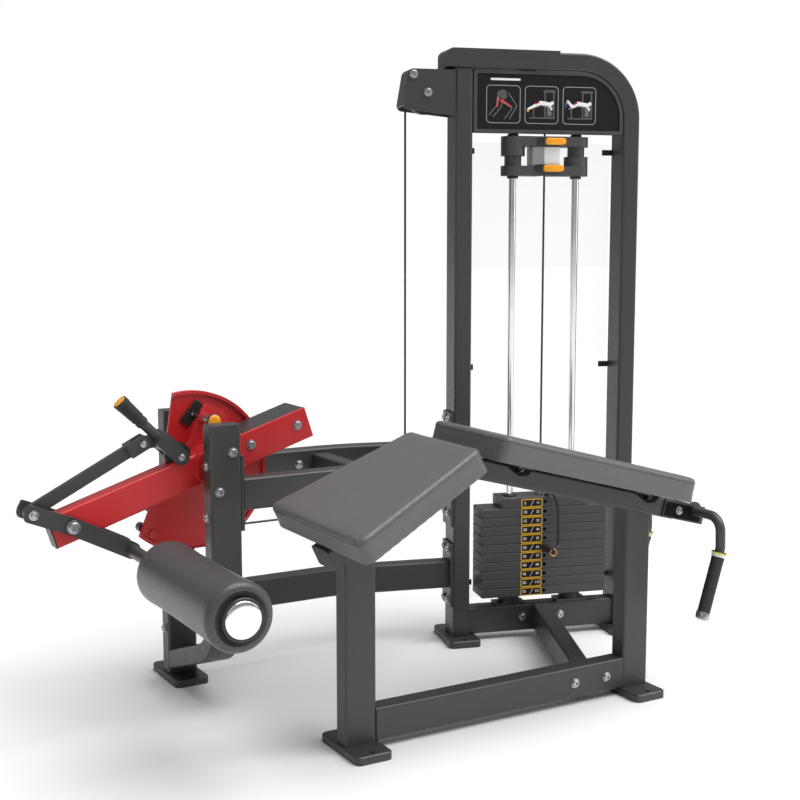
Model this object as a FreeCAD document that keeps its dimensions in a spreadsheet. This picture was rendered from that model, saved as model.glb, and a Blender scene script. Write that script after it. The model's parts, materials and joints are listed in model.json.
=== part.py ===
"""Lying leg curl: a weight-stack gym machine with an angled bench and a swinging ankle roller.

Row frame: +X along the bench towards the head end, +Y across the bench towards the weight
tower, +Z up.  The origin is on the floor, at the middle of the whole machine's box.

Six working frames make the numbers short:
  BENCH  the row frame moved to the bench's own datum
  TOWER  origin on the floor at the tower's front left corner, turned a little about Z
  THIGH  origin on the thigh pad's low top edge, X up the pad's slope
  CHEST  origin on the chest pad's high top edge, X down the pad's slope
  PIVOT  origin on the arm's hinge line
  ARM    PIVOT turned so that X runs along the curl arm
"""
import FreeCAD, Part
import math
import os
import Sketcher
from FreeCAD import Placement, Rotation, Vector

doc = FreeCAD.newDocument("leg_curl")
sheet = doc.addObject("Spreadsheet::Sheet", "Sizes")

SIZES = {
    # where the bench's datum lies in the row frame
    "datum_x": 45.475, "datum_y": -1.75,
    # box tube used for legs, posts and rails
    "tube_broad": 80.0, "tube_slim": 50.0, "tube_wall": 3.0, "tube_round": 7.0,
    # feet
    "foot_long": 186.0, "foot_broad": 94.0, "foot_thick": 20.0, "foot_round": 14.0,
    "foot_bolt_gap": 150.0, "foot_bolt_radius": 6.5,
    # bench
    "bench_line": -279.0, "thigh_leg_x": -241.0, "head_leg_x": 566.0,
    "thigh_low_x": -354.0, "thigh_low_z": 551.0, "thigh_slope": 24.9,
    "thigh_long": 381.0, "thigh_low_broad": 450.0, "thigh_high_broad": 326.0,
    "chest_high_x": 65.0, "chest_high_z": 733.0, "chest_slope": 15.0,
    "chest_long": 600.0, "chest_broad": 326.0,
    "pad_thick": 62.0, "pad_round": 16.0, "board_thick": 12.0, "board_inset": 22.0,
    "bracket_thick": 4.0, "bracket_broad": 45.0, "bracket_long": 210.0,
    "spine_low": -5.0, "spine_end": 655.0, "cap_thick": 4.0,
    # bench handles
    "handle_x": 737.0, "handle_z": 467.0, "handle_reach": 141.0, "handle_radius": 12.5,
    "grip_radius": 17.0, "grip_long": 165.0,
    # arm stand
    "stand_x": -408.0, "front_post_y": 95.0, "rear_post_y": 413.0, "post_top": 723.0,
    "front_post_foot": 59.0, "front_post_slope": 19.5, "front_post_bend": 120.0,
    "low_rail_z": 202.0, "high_rail_z": 552.0, "rail_bend": 600.0, "flange_thick": 8.0,
    # weight tower
    "tower_x": 378.1, "tower_y": 280.3, "tower_turn": 15.8,
    "tower_broad": 550.0, "tower_tall": 1686.0, "upright_slim": 50.0, "upright_deep": 90.0,
    "top_beam_tall": 50.0, "tower_bend": 155.0, "stack_line": 38.0,
    # guide rods, stack and add-on weights
    "rod_radius": 10.0, "rod_half_gap": 95.0, "rod_top": 1478.0,
    "plate_long": 382.0, "plate_deep": 88.0, "plate_thick": 25.7, "plate_pitch": 26.3,
    "stack_floor": 130.0, "head_long": 262.0, "head_thick": 30.0, "rod_fitting": 42.0,
    "selector_radius": 13.0, "selector_pin_radius": 4.8, "addon_low": 1345.0,
    # cable and pulleys
    "cable_radius": 3.0, "outer_run_x": -135.0, "top_pulley_z": 1568.0,
    "pulley_track": 55.0, "low_pulley_track": 43.0, "track_radius": 200.0,
    # hinge line, cam and curl arm
    "pivot_z": 612.0, "shaft_radius": 20.0, "arm_tilt": 18.05, "arm_line": 205.0,
    "arm_low_end": -415.0, "arm_tube_end": 62.0, "arm_high_end": 292.0,
    "cam_radius": 210.0, "cam_off_x": -2.0, "cam_off_z": -35.0, "cam_front": 305.0, "cam_thick": 10.0,
    "index_radius": 114.0, "index_angle": 86.5, "index_step": 12.0, "knob_y": 150.0,
    "counter_deep": 106.0, "bearing_lean": 68.8,
    # roller adjuster: lever, link and handle
    "lever_x": -369.0, "adjust_x": -62.0, "adjust_z": 50.0, "crank_x": -75.7, "crank_z": 64.6,
    "roller_off_x": 113.7, "roller_off_z": -115.9, "roller_radius": 75.0, "roller_long": 440.0,
    "stem_radius": 12.5, "stem_start": 60.0, "stem_long": 133.0, "stem_grip": 137.0,
}

for row, (alias, value) in enumerate(SIZES.items(), start=1):
    sheet.set(f"A{row}", alias)
    sheet.set(f"B{row}", str(value))
    sheet.setAlias(f"B{row}", alias)
doc.recompute()


def size(alias):
    """A driving dimension, read back from the sheet."""
    return float(sheet.get(alias))


NODES = []
PLATES, RESTING = 10, 5     # plates in the stack, and how many stay down under the selector pin
X_AXIS, Y_AXIS, Z_AXIS = Vector(1, 0, 0), Vector(0, 1, 0), Vector(0, 0, 1)
UPRIGHT = Rotation()
Z_TO_Y = Rotation(X_AXIS, -90)      # a length along Z turns to run along +Y
Z_TO_X = Rotation(Vector(1, 1, 1), 120)   # Z to X, X to Y, Y to Z


# ---------------------------------------------------------------- frames
BENCH = Placement(Vector(-size("datum_x"), -size("datum_y"), 0), UPRIGHT)


def frame_in(parent, x, y, z, rotation=UPRIGHT):
    return parent.multiply(Placement(Vector(x, y, z), rotation))


TOWER = frame_in(BENCH, size("tower_x"), size("tower_y"), 0, Rotation(Z_AXIS, -size("tower_turn")))
THIGH = frame_in(BENCH, size("thigh_low_x"), size("bench_line"), size("thigh_low_z"),
                 Rotation(Y_AXIS, -size("thigh_slope")))
CHEST = frame_in(BENCH, size("chest_high_x"), size("bench_line"), size("chest_high_z"),
                 Rotation(Y_AXIS, size("chest_slope")))
PIVOT = frame_in(BENCH, size("stand_x"), 0, size("pivot_z"))
ARM = frame_in(PIVOT, 0, 0, 0, Rotation(Y_AXIS, -size("arm_tilt")))


# ---------------------------------------------------------------- building helpers
def node(obj, label, placement=None):
    """Names a finished sub-part and, where given, places it."""
    obj.Label = label
    if placement is not None:
        obj.Placement = placement
    NODES.append(obj)
    return obj


def origin_plane(body, role):
    return next(f for f in body.Origin.OriginFeatures if f.Role == role)


def add_rectangle(sketch, name, wide, tall):
    """A rectangle centred on the sketch's origin, its two sides bound to sheet expressions."""
    corners = [Vector(-20, -10, 0), Vector(20, -10, 0), Vector(20, 10, 0), Vector(-20, 10, 0)]
    lines = [sketch.addGeometry(Part.LineSegment(corners[i], corners[(i + 1) % 4]), False)
             for i in range(4)]
    for i in range(4):
        sketch.addConstraint(Sketcher.Constraint("Coincident", lines[i], 2, lines[(i + 1) % 4], 1))
    sketch.addConstraint(Sketcher.Constraint("Horizontal", lines[0]))
    sketch.addConstraint(Sketcher.Constraint("Horizontal", lines[2]))
    sketch.addConstraint(Sketcher.Constraint("Vertical", lines[1]))
    sketch.addConstraint(Sketcher.Constraint("Vertical", lines[3]))
    sketch.addConstraint(Sketcher.Constraint("Symmetric", lines[0], 1, lines[2], 1, -1, 1))
    for side, line, expression in (("wide", lines[0], wide), ("tall", lines[1], tall)):
        kind = "DistanceX" if side == "wide" else "DistanceY"
        index = sketch.addConstraint(Sketcher.Constraint(kind, line, 1, line, 2, 20.0))
        sketch.renameConstraint(index, f"{name}_{side}")
        sketch.setExpression(f"Constraints.{name}_{side}", expression)


def box_tube(label, wide, tall, length, placement, as_node=True):
    """Hollow box tube: sketch with outer and inner rectangle, padded along its own Z."""
    body = doc.addObject("PartDesign::Body", label + "_tube")
    sketch = body.newObject("Sketcher::SketchObject", label + "_section")
    sketch.AttachmentSupport = [(origin_plane(body, "XY_Plane"), "")]
    sketch.MapMode = "FlatFace"
    add_rectangle(sketch, "outer", wide, tall)
    add_rectangle(sketch, "inner", f"{wide} - 2 * Sizes.tube_wall", f"{tall} - 2 * Sizes.tube_wall")
    pad = body.newObject("PartDesign::Pad", label + "_length")
    pad.Profile = sketch
    pad.setExpression("Length", length)
    doc.recompute()
    box = pad.Shape.BoundBox
    corners = [f"Edge{i}" for i, edge in enumerate(pad.Shape.Edges, start=1)
               if abs(abs(edge.CenterOfMass.x) - box.XMax) < 0.01
               and abs(abs(edge.CenterOfMass.y) - box.YMax) < 0.01]
    rounding = body.newObject("PartDesign::Fillet", label + "_corners")
    rounding.Base = (pad, corners)
    rounding.setExpression("Radius", "Sizes.tube_round")
    body.Tip = rounding
    body.Placement = placement
    doc.recompute()
    if as_node:
        node(body, label)
    return body


def box(name, long, deep, tall, placement):
    """A Part box centred on its own X and Y, standing on its own XY plane."""
    obj = doc.addObject("Part::Box", name)
    for prop, expression in (("Length", long), ("Width", deep), ("Height", tall)):
        obj.setExpression(prop, expression)
    doc.recompute()
    shift = Placement(Vector(-obj.Length.Value / 2, -obj.Width.Value / 2, 0), UPRIGHT)
    obj.Placement = placement.multiply(shift)
    return obj


def cylinder(name, radius, height, placement):
    obj = doc.addObject("Part::Cylinder", name)
    obj.setExpression("Radius", radius)
    obj.setExpression("Height", height)
    obj.Placement = placement
    return obj


def cut(label, base, tool):
    obj = doc.addObject("Part::Cut", label + "_cut")
    obj.Base = base
    obj.Tool = tool
    doc.recompute()
    return obj


def fuse(label, pieces):
    obj = doc.addObject("Part::MultiFuse", label + "_fuse")
    obj.Shapes = pieces
    doc.recompute()
    return obj


def weld(label, pieces):
    """Pieces welded or pressed together, so one solid and one node."""
    return node(fuse(label, pieces), label)


def group(label, pieces):
    """Separate pieces of one kind, or of one small set, that share one node."""
    obj = doc.addObject("Part::Compound", label + "_set")
    obj.Links = pieces
    doc.recompute()
    return node(obj, label)


def shaped(label, shape, placement=Placement()):
    """A sub-part whose shape comes from Part's own functions, in the frame that is given."""
    obj = doc.addObject("Part::Feature", label + "_body")
    obj.Shape = shape
    return node(obj, label, placement)


def tool(name, shape, placement=Placement()):
    obj = doc.addObject("Part::Feature", name)
    obj.Shape = shape
    obj.Placement = placement
    return obj


def rounded_path(points, radius):
    """Straight runs joined by tangent arcs. One radius for all corners, or one per corner."""
    corners = len(points) - 2
    radii = radius if isinstance(radius, (list, tuple)) else [radius] * corners
    edges = []
    last = points[0]
    for i in range(1, len(points) - 1):
        back = (points[i - 1] - points[i]).normalize()
        ahead = (points[i + 1] - points[i]).normalize()
        half_turn = (math.pi - back.getAngle(ahead)) / 2
        reach = radii[i - 1] * math.tan(half_turn)
        start = points[i] + back * reach
        stop = points[i] + ahead * reach
        inward = (back + ahead).normalize()
        to_centre = radii[i - 1] / math.cos(half_turn)
        middle = points[i] + inward * (to_centre - radii[i - 1])
        edges.append(Part.LineSegment(last, start).toShape())
        edges.append(Part.Arc(start, middle, stop).toShape())
        last = stop
    edges.append(Part.LineSegment(last, points[-1]).toShape())
    return Part.Wire(edges)


def section_wire(wide, tall, corner):
    """Rounded rectangle in the XY plane, centred on the origin."""
    x, y, r = wide / 2, tall / 2, corner
    k = r * (1 - math.sqrt(0.5))
    sides = [((-x + r, -y), (x - r, -y)), ((x, -y + r), (x, y - r)),
             ((x - r, y), (-x + r, y)), ((-x, y - r), (-x, -y + r))]
    mids = [(x - k, -y + k), (x - k, y - k), (-x + k, y - k), (-x + k, -y + k)]
    edges = []
    for i in range(4):
        start, stop = (Vector(*p, 0) for p in sides[i])
        edges.append(Part.LineSegment(start, stop).toShape())
        edges.append(Part.Arc(stop, Vector(*mids[i], 0), Vector(*sides[(i + 1) % 4][0], 0)).toShape())
    return Part.Wire(edges)


def swept(path, section, across):
    """Sweeps a section along a path; the section's own X lies along `across`."""
    start = path.Edges[0]
    heading = start.tangentAt(start.FirstParameter)
    section = section.copy()
    section.Placement = Placement(start.Vertexes[0].Point, Rotation(across, Vector(), heading, "ZXY"))
    return path.makePipeShell([section], True, False)


def bent_tube(points, radius, across):
    """Box tube along a bent line; its broad side lies along `across`."""
    broad, slim, wall = size("tube_broad"), size("tube_slim"), size("tube_wall")
    corner = size("tube_round")
    path = rounded_path(points, radius)
    outer = swept(path, section_wire(broad, slim, corner), across)
    inner = swept(path, section_wire(broad - 2 * wall, slim - 2 * wall, corner - wall), across)
    return outer.cut(inner)


def round_bar(points, radius, bar_radius):
    path = rounded_path(points, radius)
    ring = Part.Wire([Part.Circle(Vector(), Z_AXIS, bar_radius).toShape()])
    return swept(path, ring, path.Edges[0].Vertexes[0].Point.cross(Vector(0.3, 0.5, 0.7)))


def disc(radius, thick, bore=0.0):
    """A disc on the XY plane, with a bore where one is asked for."""
    shape = Part.makeCylinder(radius, thick)
    if bore:
        shape = shape.cut(Part.makeCylinder(bore, thick))
    return shape


def bolt(radius):
    """Head of a button-head bolt on its washer; it stands on +Z."""
    washer = disc(radius * 1.9, 2.0, 0)
    head = Part.makeCylinder(radius * 1.5, radius * 0.9, Vector(0, 0, 2.0))
    head = head.makeFillet(radius * 0.45, [e for e in head.Edges
                                           if len(e.Vertexes) == 1 and e.BoundBox.ZMin > 2.5])
    socket = Part.Face(Part.makePolygon([Vector(radius * 0.7 * math.cos(math.radians(60 * i)),
                                                radius * 0.7 * math.sin(math.radians(60 * i)),
                                                2.0 + radius * 0.9) for i in range(7)]))
    head = head.cut(socket.extrude(Vector(0, 0, -radius * 0.5)))
    return washer.fuse(head).removeSplitter()


def facing(direction):
    """Turns +Z to a direction."""
    return Rotation(Z_AXIS, direction)


# ---------------------------------------------------------------- bench
def build_bench():
    line = size("bench_line")
    foot = size("foot_thick")
    broad, slim = size("tube_broad"), size("tube_slim")

    spine_drop = size("pad_thick") + size("bracket_thick") + slim / 2
    over_low = block_above("over_thigh_beam", THIGH, spine_drop + slim / 2)
    over_high = block_above("over_chest_beam", CHEST, spine_drop + slim / 2)
    legs = []
    for label, x, over in (("thigh_leg", "thigh_leg_x", over_low), ("head_leg", "head_leg_x", over_high)):
        leg = box_tube(label, "Sizes.tube_broad", "Sizes.tube_slim", "Sizes.chest_high_z - Sizes.foot_thick",
                       frame_in(BENCH, size(x), line, foot), as_node=False)
        legs.append(cut(label, leg, over))
    group("bench_legs", legs)

    left = size("thigh_leg_x") + broad / 2
    box_tube("bench_base_beam", "Sizes.tube_slim", "Sizes.tube_broad",
             "Sizes.head_leg_x - Sizes.thigh_leg_x - Sizes.tube_broad",
             frame_in(BENCH, left, line, foot + broad / 2, Z_TO_X))

    # the two sloped beams meet on a mitre
    thigh_run, chest_run = mitre_runs(spine_drop)
    peak = THIGH.multVec(Vector(thigh_run, 0, -spine_drop))
    half = (size("thigh_slope") - size("chest_slope")) / 2
    mitre = Placement(peak, Rotation(Y_AXIS, -half))
    beams = []
    low_end = size("spine_low")
    over = size("tube_broad")
    for label, frame, start, length, side in (
            ("thigh_beam", THIGH, low_end, thigh_run - low_end + over, 1),
            ("chest_beam", CHEST, chest_run - over, size("spine_end") - chest_run + over, -1)):
        beam = box_tube(label, "Sizes.tube_broad", "Sizes.tube_slim", f"{length} mm",
                        frame_in(frame, start, 0, -spine_drop, Z_TO_X), as_node=False)
        block = Part.makeBox(200, 200, 200, Vector(0 if side > 0 else -200, -100, -100))
        beams.append(cut(label, beam, tool(label + "_mitre", block, mitre)))
    cap = Part.Face(section_wire(broad, slim, size("tube_round"))).extrude(Vector(0, 0, size("cap_thick")))
    end_cap = tool("spine_cap", cap, frame_in(THIGH, low_end - size("cap_thick"), 0, -spine_drop, Z_TO_X))
    weld("bench_spine", beams + pad_straps() + [end_cap])


def block_above(name, frame, drop):
    """Everything above a sloped beam's underside, used to cut a leg's top."""
    return tool(name, Part.makeBox(900, 300, 400, Vector(-150, -150, -drop)), frame)


def mitre_runs(drop):
    """How far along each slope the two beams' centre lines meet."""
    def unturned(point):
        return Vector(point.x, point.z, 0)
    p = unturned(THIGH.multVec(Vector(0, 0, -drop)))
    q = unturned(CHEST.multVec(Vector(0, 0, -drop)))
    d = unturned(THIGH.Rotation.multVec(X_AXIS))
    e = unturned(CHEST.Rotation.multVec(X_AXIS))
    gap = q - p
    spread = d.x * e.y - d.y * e.x
    along_thigh = (gap.x * e.y - gap.y * e.x) / spread
    along_chest = (gap.x * d.y - gap.y * d.x) / spread
    return along_thigh, along_chest


def pad_straps():
    """Cross straps on the sloped beams that the pads are screwed to."""
    under = -size("pad_thick") - size("bracket_thick")
    spots = [("thigh_low", THIGH, 100), ("thigh_high", THIGH, 290),
             ("chest_high", CHEST, 110), ("chest_low", CHEST, 480)]
    return [box(name + "_strap", "Sizes.bracket_broad", "Sizes.bracket_long", "Sizes.bracket_thick",
                frame_in(frame, x, 0, under)) for name, frame, x in spots]


def pad_shape(long, low_broad, high_broad):
    """Pad with crowned edges, with a pocket in its underside for the board."""
    thick, inset, board = size("pad_thick"), size("board_inset"), size("board_thick")

    def outline(gap, z):
        return Part.Face(Part.makePolygon([
            Vector(gap, -low_broad / 2 + gap, z), Vector(long - gap, -high_broad / 2 + gap, z),
            Vector(long - gap, high_broad / 2 - gap, z), Vector(gap, low_broad / 2 - gap, z),
            Vector(gap, -low_broad / 2 + gap, z)]))

    body = outline(0, -thick).extrude(Vector(0, 0, thick))
    body = body.makeFillet(24, [e for e in body.Edges if e.BoundBox.ZLength > thick - 1])
    rim = [e for e in body.Edges if e.BoundBox.ZLength < 0.01 and e.BoundBox.ZMax > -0.01]
    body = body.makeFillet(size("pad_round"), rim)
    panel = outline(inset, -thick).extrude(Vector(0, 0, board))
    return body.cut(panel), outline(inset + 0.2, -thick).extrude(Vector(0, 0, board - 0.2))


def build_pads():
    thigh, thigh_board = pad_shape(size("thigh_long"), size("thigh_low_broad"), size("thigh_high_broad"))
    chest, chest_board = pad_shape(size("chest_long"), size("chest_broad"), size("chest_broad"))
    shaped("thigh_pad", thigh, THIGH)
    shaped("chest_pad", chest, CHEST)
    group("pad_boards", [tool("thigh_board", thigh_board, THIGH), tool("chest_board", chest_board, CHEST)])


def build_handles():
    """Two hand grips on one cross tube, held by a cheek plate each side of the chest beam."""
    line, x, z = size("bench_line"), size("handle_x"), size("handle_z")
    reach, bar = size("handle_reach"), size("handle_radius")
    cheek_gap = size("tube_broad") / 2
    spine_drop = size("pad_thick") + size("bracket_thick")
    eye = CHEST.inverse().multVec(BENCH.multVec(Vector(x, line, z)))
    cheeks = []
    for side in (-1, 1):
        y = side * (cheek_gap + 2.5) - 2.5
        plate = Part.makeBox(140, 5, 46, Vector(eye.x - 105, y, -spine_drop - 48))
        plate = plate.fuse(Part.makeCylinder(24, 5, Vector(eye.x, y, eye.z), Y_AXIS)).removeSplitter()
        hole = Part.makeCylinder(bar, 5, Vector(eye.x, y, eye.z), Y_AXIS)
        cheeks.append(tool(f"cheek_{side + 1}", plate.cut(hole), CHEST))
    end = Part.makeBox(5, 2 * cheek_gap, 46, Vector(eye.x + 30, -cheek_gap, -spine_drop - 48))
    cheeks.append(tool("handle_end_plate", end, CHEST))

    lean = Rotation(Y_AXIS, 17.6).multVec(-Z_AXIS)
    elbow = Vector(x + 3, 0, z - 79)
    half, grips, rings = [], [], []
    for side in (-1, 1):
        out = side * reach
        bend = elbow + Vector(0, line + out, 0)
        points = [Vector(x, line, z), Vector(x, line + out, z), bend, bend + lean * (size("grip_long") + 24)]
        half.append(round_bar(points, [36, 40], bar))
        top = bend + lean * 20
        grips.append(tool(f"grip_{side + 1}", sleeve(bar + 0.05, size("grip_radius"), top, lean,
                                                     size("grip_long") - 8)))
        rings.append(tool(f"ring_{side + 1}", sleeve(bar + 0.05, size("grip_radius") + 3.5,
                                                     top - lean * 7.2, lean, 7)))
        rings.append(tool(f"cap_{side + 1}", sleeve(bar + 0.05, size("grip_radius") + 1,
                                                    top + lean * (size("grip_long") - 7.8), lean, 11)))
    tube = tool("handle_bar", half[0].fuse(half[1]).removeSplitter())
    for piece in [tube] + grips + rings:
        piece.Placement = BENCH
    weld("bench_handles", cheeks + [tube])
    group("bench_grips", grips)
    group("grip_rings", rings)


def sleeve(inner, outer, base, direction, length):
    shape = Part.makeCylinder(outer, length, base, direction)
    return shape.cut(Part.makeCylinder(inner, length, base, direction))


# ---------------------------------------------------------------- feet
def foot_shape():
    """Foot plate: 94 x 186 mm, with a bolt hole near each end."""
    long, broad = size("foot_long"), size("foot_broad")
    plate = Part.Face(section_wire(broad, long, size("foot_round"))).extrude(Vector(0, 0, size("foot_thick")))
    rim = [e for e in plate.Edges if e.BoundBox.ZMin > size("foot_thick") - 0.01]
    plate = plate.makeChamfer(2.5, rim)
    for side in (-1, 1):
        hole = Part.makeCylinder(size("foot_bolt_radius"), 40,
                                 Vector(0, side * size("foot_bolt_gap") / 2, -1))
        plate = plate.cut(hole)
    return plate


def build_feet():
    line, upright = size("bench_line"), size("upright_slim")
    spots = [("thigh_foot", BENCH, size("thigh_leg_x"), line),
             ("head_foot", BENCH, size("head_leg_x"), line),
             ("stand_foot", BENCH, size("stand_x"), size("rear_post_y")),
             ("tower_left_foot", TOWER, upright / 2, size("upright_deep") / 2),
             ("tower_right_foot", TOWER, size("tower_broad") - upright / 2, size("upright_deep") / 2)]
    group("foot_plates", [tool(name, foot_shape(), frame_in(frame, x, y, 0)) for name, frame, x, y in spots])


# ---------------------------------------------------------------- arm stand
def build_stand():
    x, foot, top = size("stand_x"), size("foot_thick"), size("post_top")
    front_y, rear_y = size("front_post_y"), size("rear_post_y")
    slim, broad = size("tube_slim"), size("tube_broad")

    caps = [tool(f"post_cap_{i}", Part.Face(section_wire(broad, slim, size("tube_round"))).extrude(
        Vector(0, 0, 4)), frame_in(BENCH, x, y, top)) for i, y in enumerate((front_y, rear_y))]
    post = box_tube("rear_post", "Sizes.tube_broad", "Sizes.tube_slim", "Sizes.post_top - Sizes.foot_thick",
                    frame_in(BENCH, x, rear_y, foot), as_node=False)
    weld("rear_post", [post, caps[1]])

    # front post: down, round a bend, then back and down to the rear post's foot
    rear_face = rear_y - slim / 2
    rise = math.tan(math.radians(size("front_post_slope")))
    corner_z = size("front_post_foot") + (rear_face - front_y) * rise
    beyond = rear_face + 40
    points = [Vector(x, front_y, top), Vector(x, front_y, corner_z),
              Vector(x, beyond, corner_z - (beyond - front_y) * rise)]
    post = bent_tube(points, size("front_post_bend"), X_AXIS)
    behind = Part.makeBox(200, 200, 300, Vector(x - 100, rear_face, -60))
    weld("front_post", [tool("front_post_bend", post.cut(behind), BENCH), caps[0]])

    # rails from the stand to the tower
    side = x + broad / 2
    turn = math.radians(size("tower_turn"))
    mid_deep = size("upright_deep") / 2
    meet = TOWER.multVec(Vector(-size("flange_thick"), mid_deep, 0)) - BENCH.Base
    back = (meet.y - rear_y) / math.sin(turn)
    corner = Vector(meet.x + back * math.cos(turn), rear_y, 0)
    flange = size("flange_thick")

    def rear_line(z):
        return [Vector(side, rear_y, z), Vector(corner.x, corner.y, z), Vector(meet.x, meet.y, z)]

    for label, z in (("low_rail", size("low_rail_z")), ("high_rear_rail", size("high_rail_z"))):
        rail = bent_tube(rear_line(z), size("rail_bend"), Z_AXIS)
        if label == "high_rear_rail":
            drop = TOWER.multVec(Vector(size("outer_run_x"), size("stack_line"), z - 60)) - BENCH.Base
            rail = rail.cut(Part.makeCylinder(11, 120, drop))
        low, tall = (346, 330) if label == "high_rear_rail" else (109, 186)
        plate = Part.makeBox(flange, 84, tall, Vector(-flange, 3, low))
        weld(label, [tool(label + "_bend", rail, BENCH), tool(label + "_flange", plate, TOWER)])

    z = size("high_rail_z")
    points = [Vector(side + flange, front_y, z), Vector(25, front_y, z), Vector(262, 352, z)]
    rail = bent_tube(points, 260, Z_AXIS)
    solid = swept(rounded_path(rear_line(z), size("rail_bend")),
                  section_wire(broad, slim, size("tube_round")), Z_AXIS)
    plate = Part.makeBox(flange, 46, 186, Vector(side, front_y - 23, 462))
    brace = box_tube("rail_brace", "Sizes.tube_slim", "Sizes.tube_slim",
                     "Sizes.rear_post_y - Sizes.front_post_y - Sizes.tube_slim",
                     frame_in(BENCH, 5, front_y + slim / 2, z + 2, Z_TO_Y), as_node=False)
    front_rail = fuse("high_front", [tool("high_front_bend", rail, BENCH), tool("post_flange", plate, BENCH),
                                     brace])
    node(cut("high_front_rail", front_rail, tool("rear_rail_room", solid, BENCH)), "high_front_rail")

    # two-bolt flange bearings that hold the arm's shaft
    bearings = []
    lean = math.radians(size("bearing_lean"))
    for name, y in (("front_bearing", front_y + slim / 2), ("rear_bearing", rear_y - slim / 2 - 16)):
        at = Vector(x, y, size("pivot_z"))
        arm_to = Vector(math.cos(lean), 0, math.sin(lean))
        ring = Part.makeCylinder(36, 16, at, Y_AXIS)
        for way in (-1, 1):
            ear = at + arm_to * (50.5 * way)
            ring = ring.fuse(Part.makeCylinder(15, 10 if y < 200 else 16, ear, Y_AXIS))
            web = Part.makeBox(52, 10 if y < 200 else 16, 26, Vector(0, 0, -13))
            tilt = -size("bearing_lean") + (0 if way > 0 else 180)
            web.Placement = Placement(at, Rotation(Y_AXIS, tilt))
            ring = ring.fuse(web)
        ring = ring.removeSplitter().cut(Part.makeCylinder(size("shaft_radius") + 0.05, 16, at, Y_AXIS))
        bearings.append(tool(name, ring, BENCH))
    group("pivot_bearings", bearings)


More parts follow.
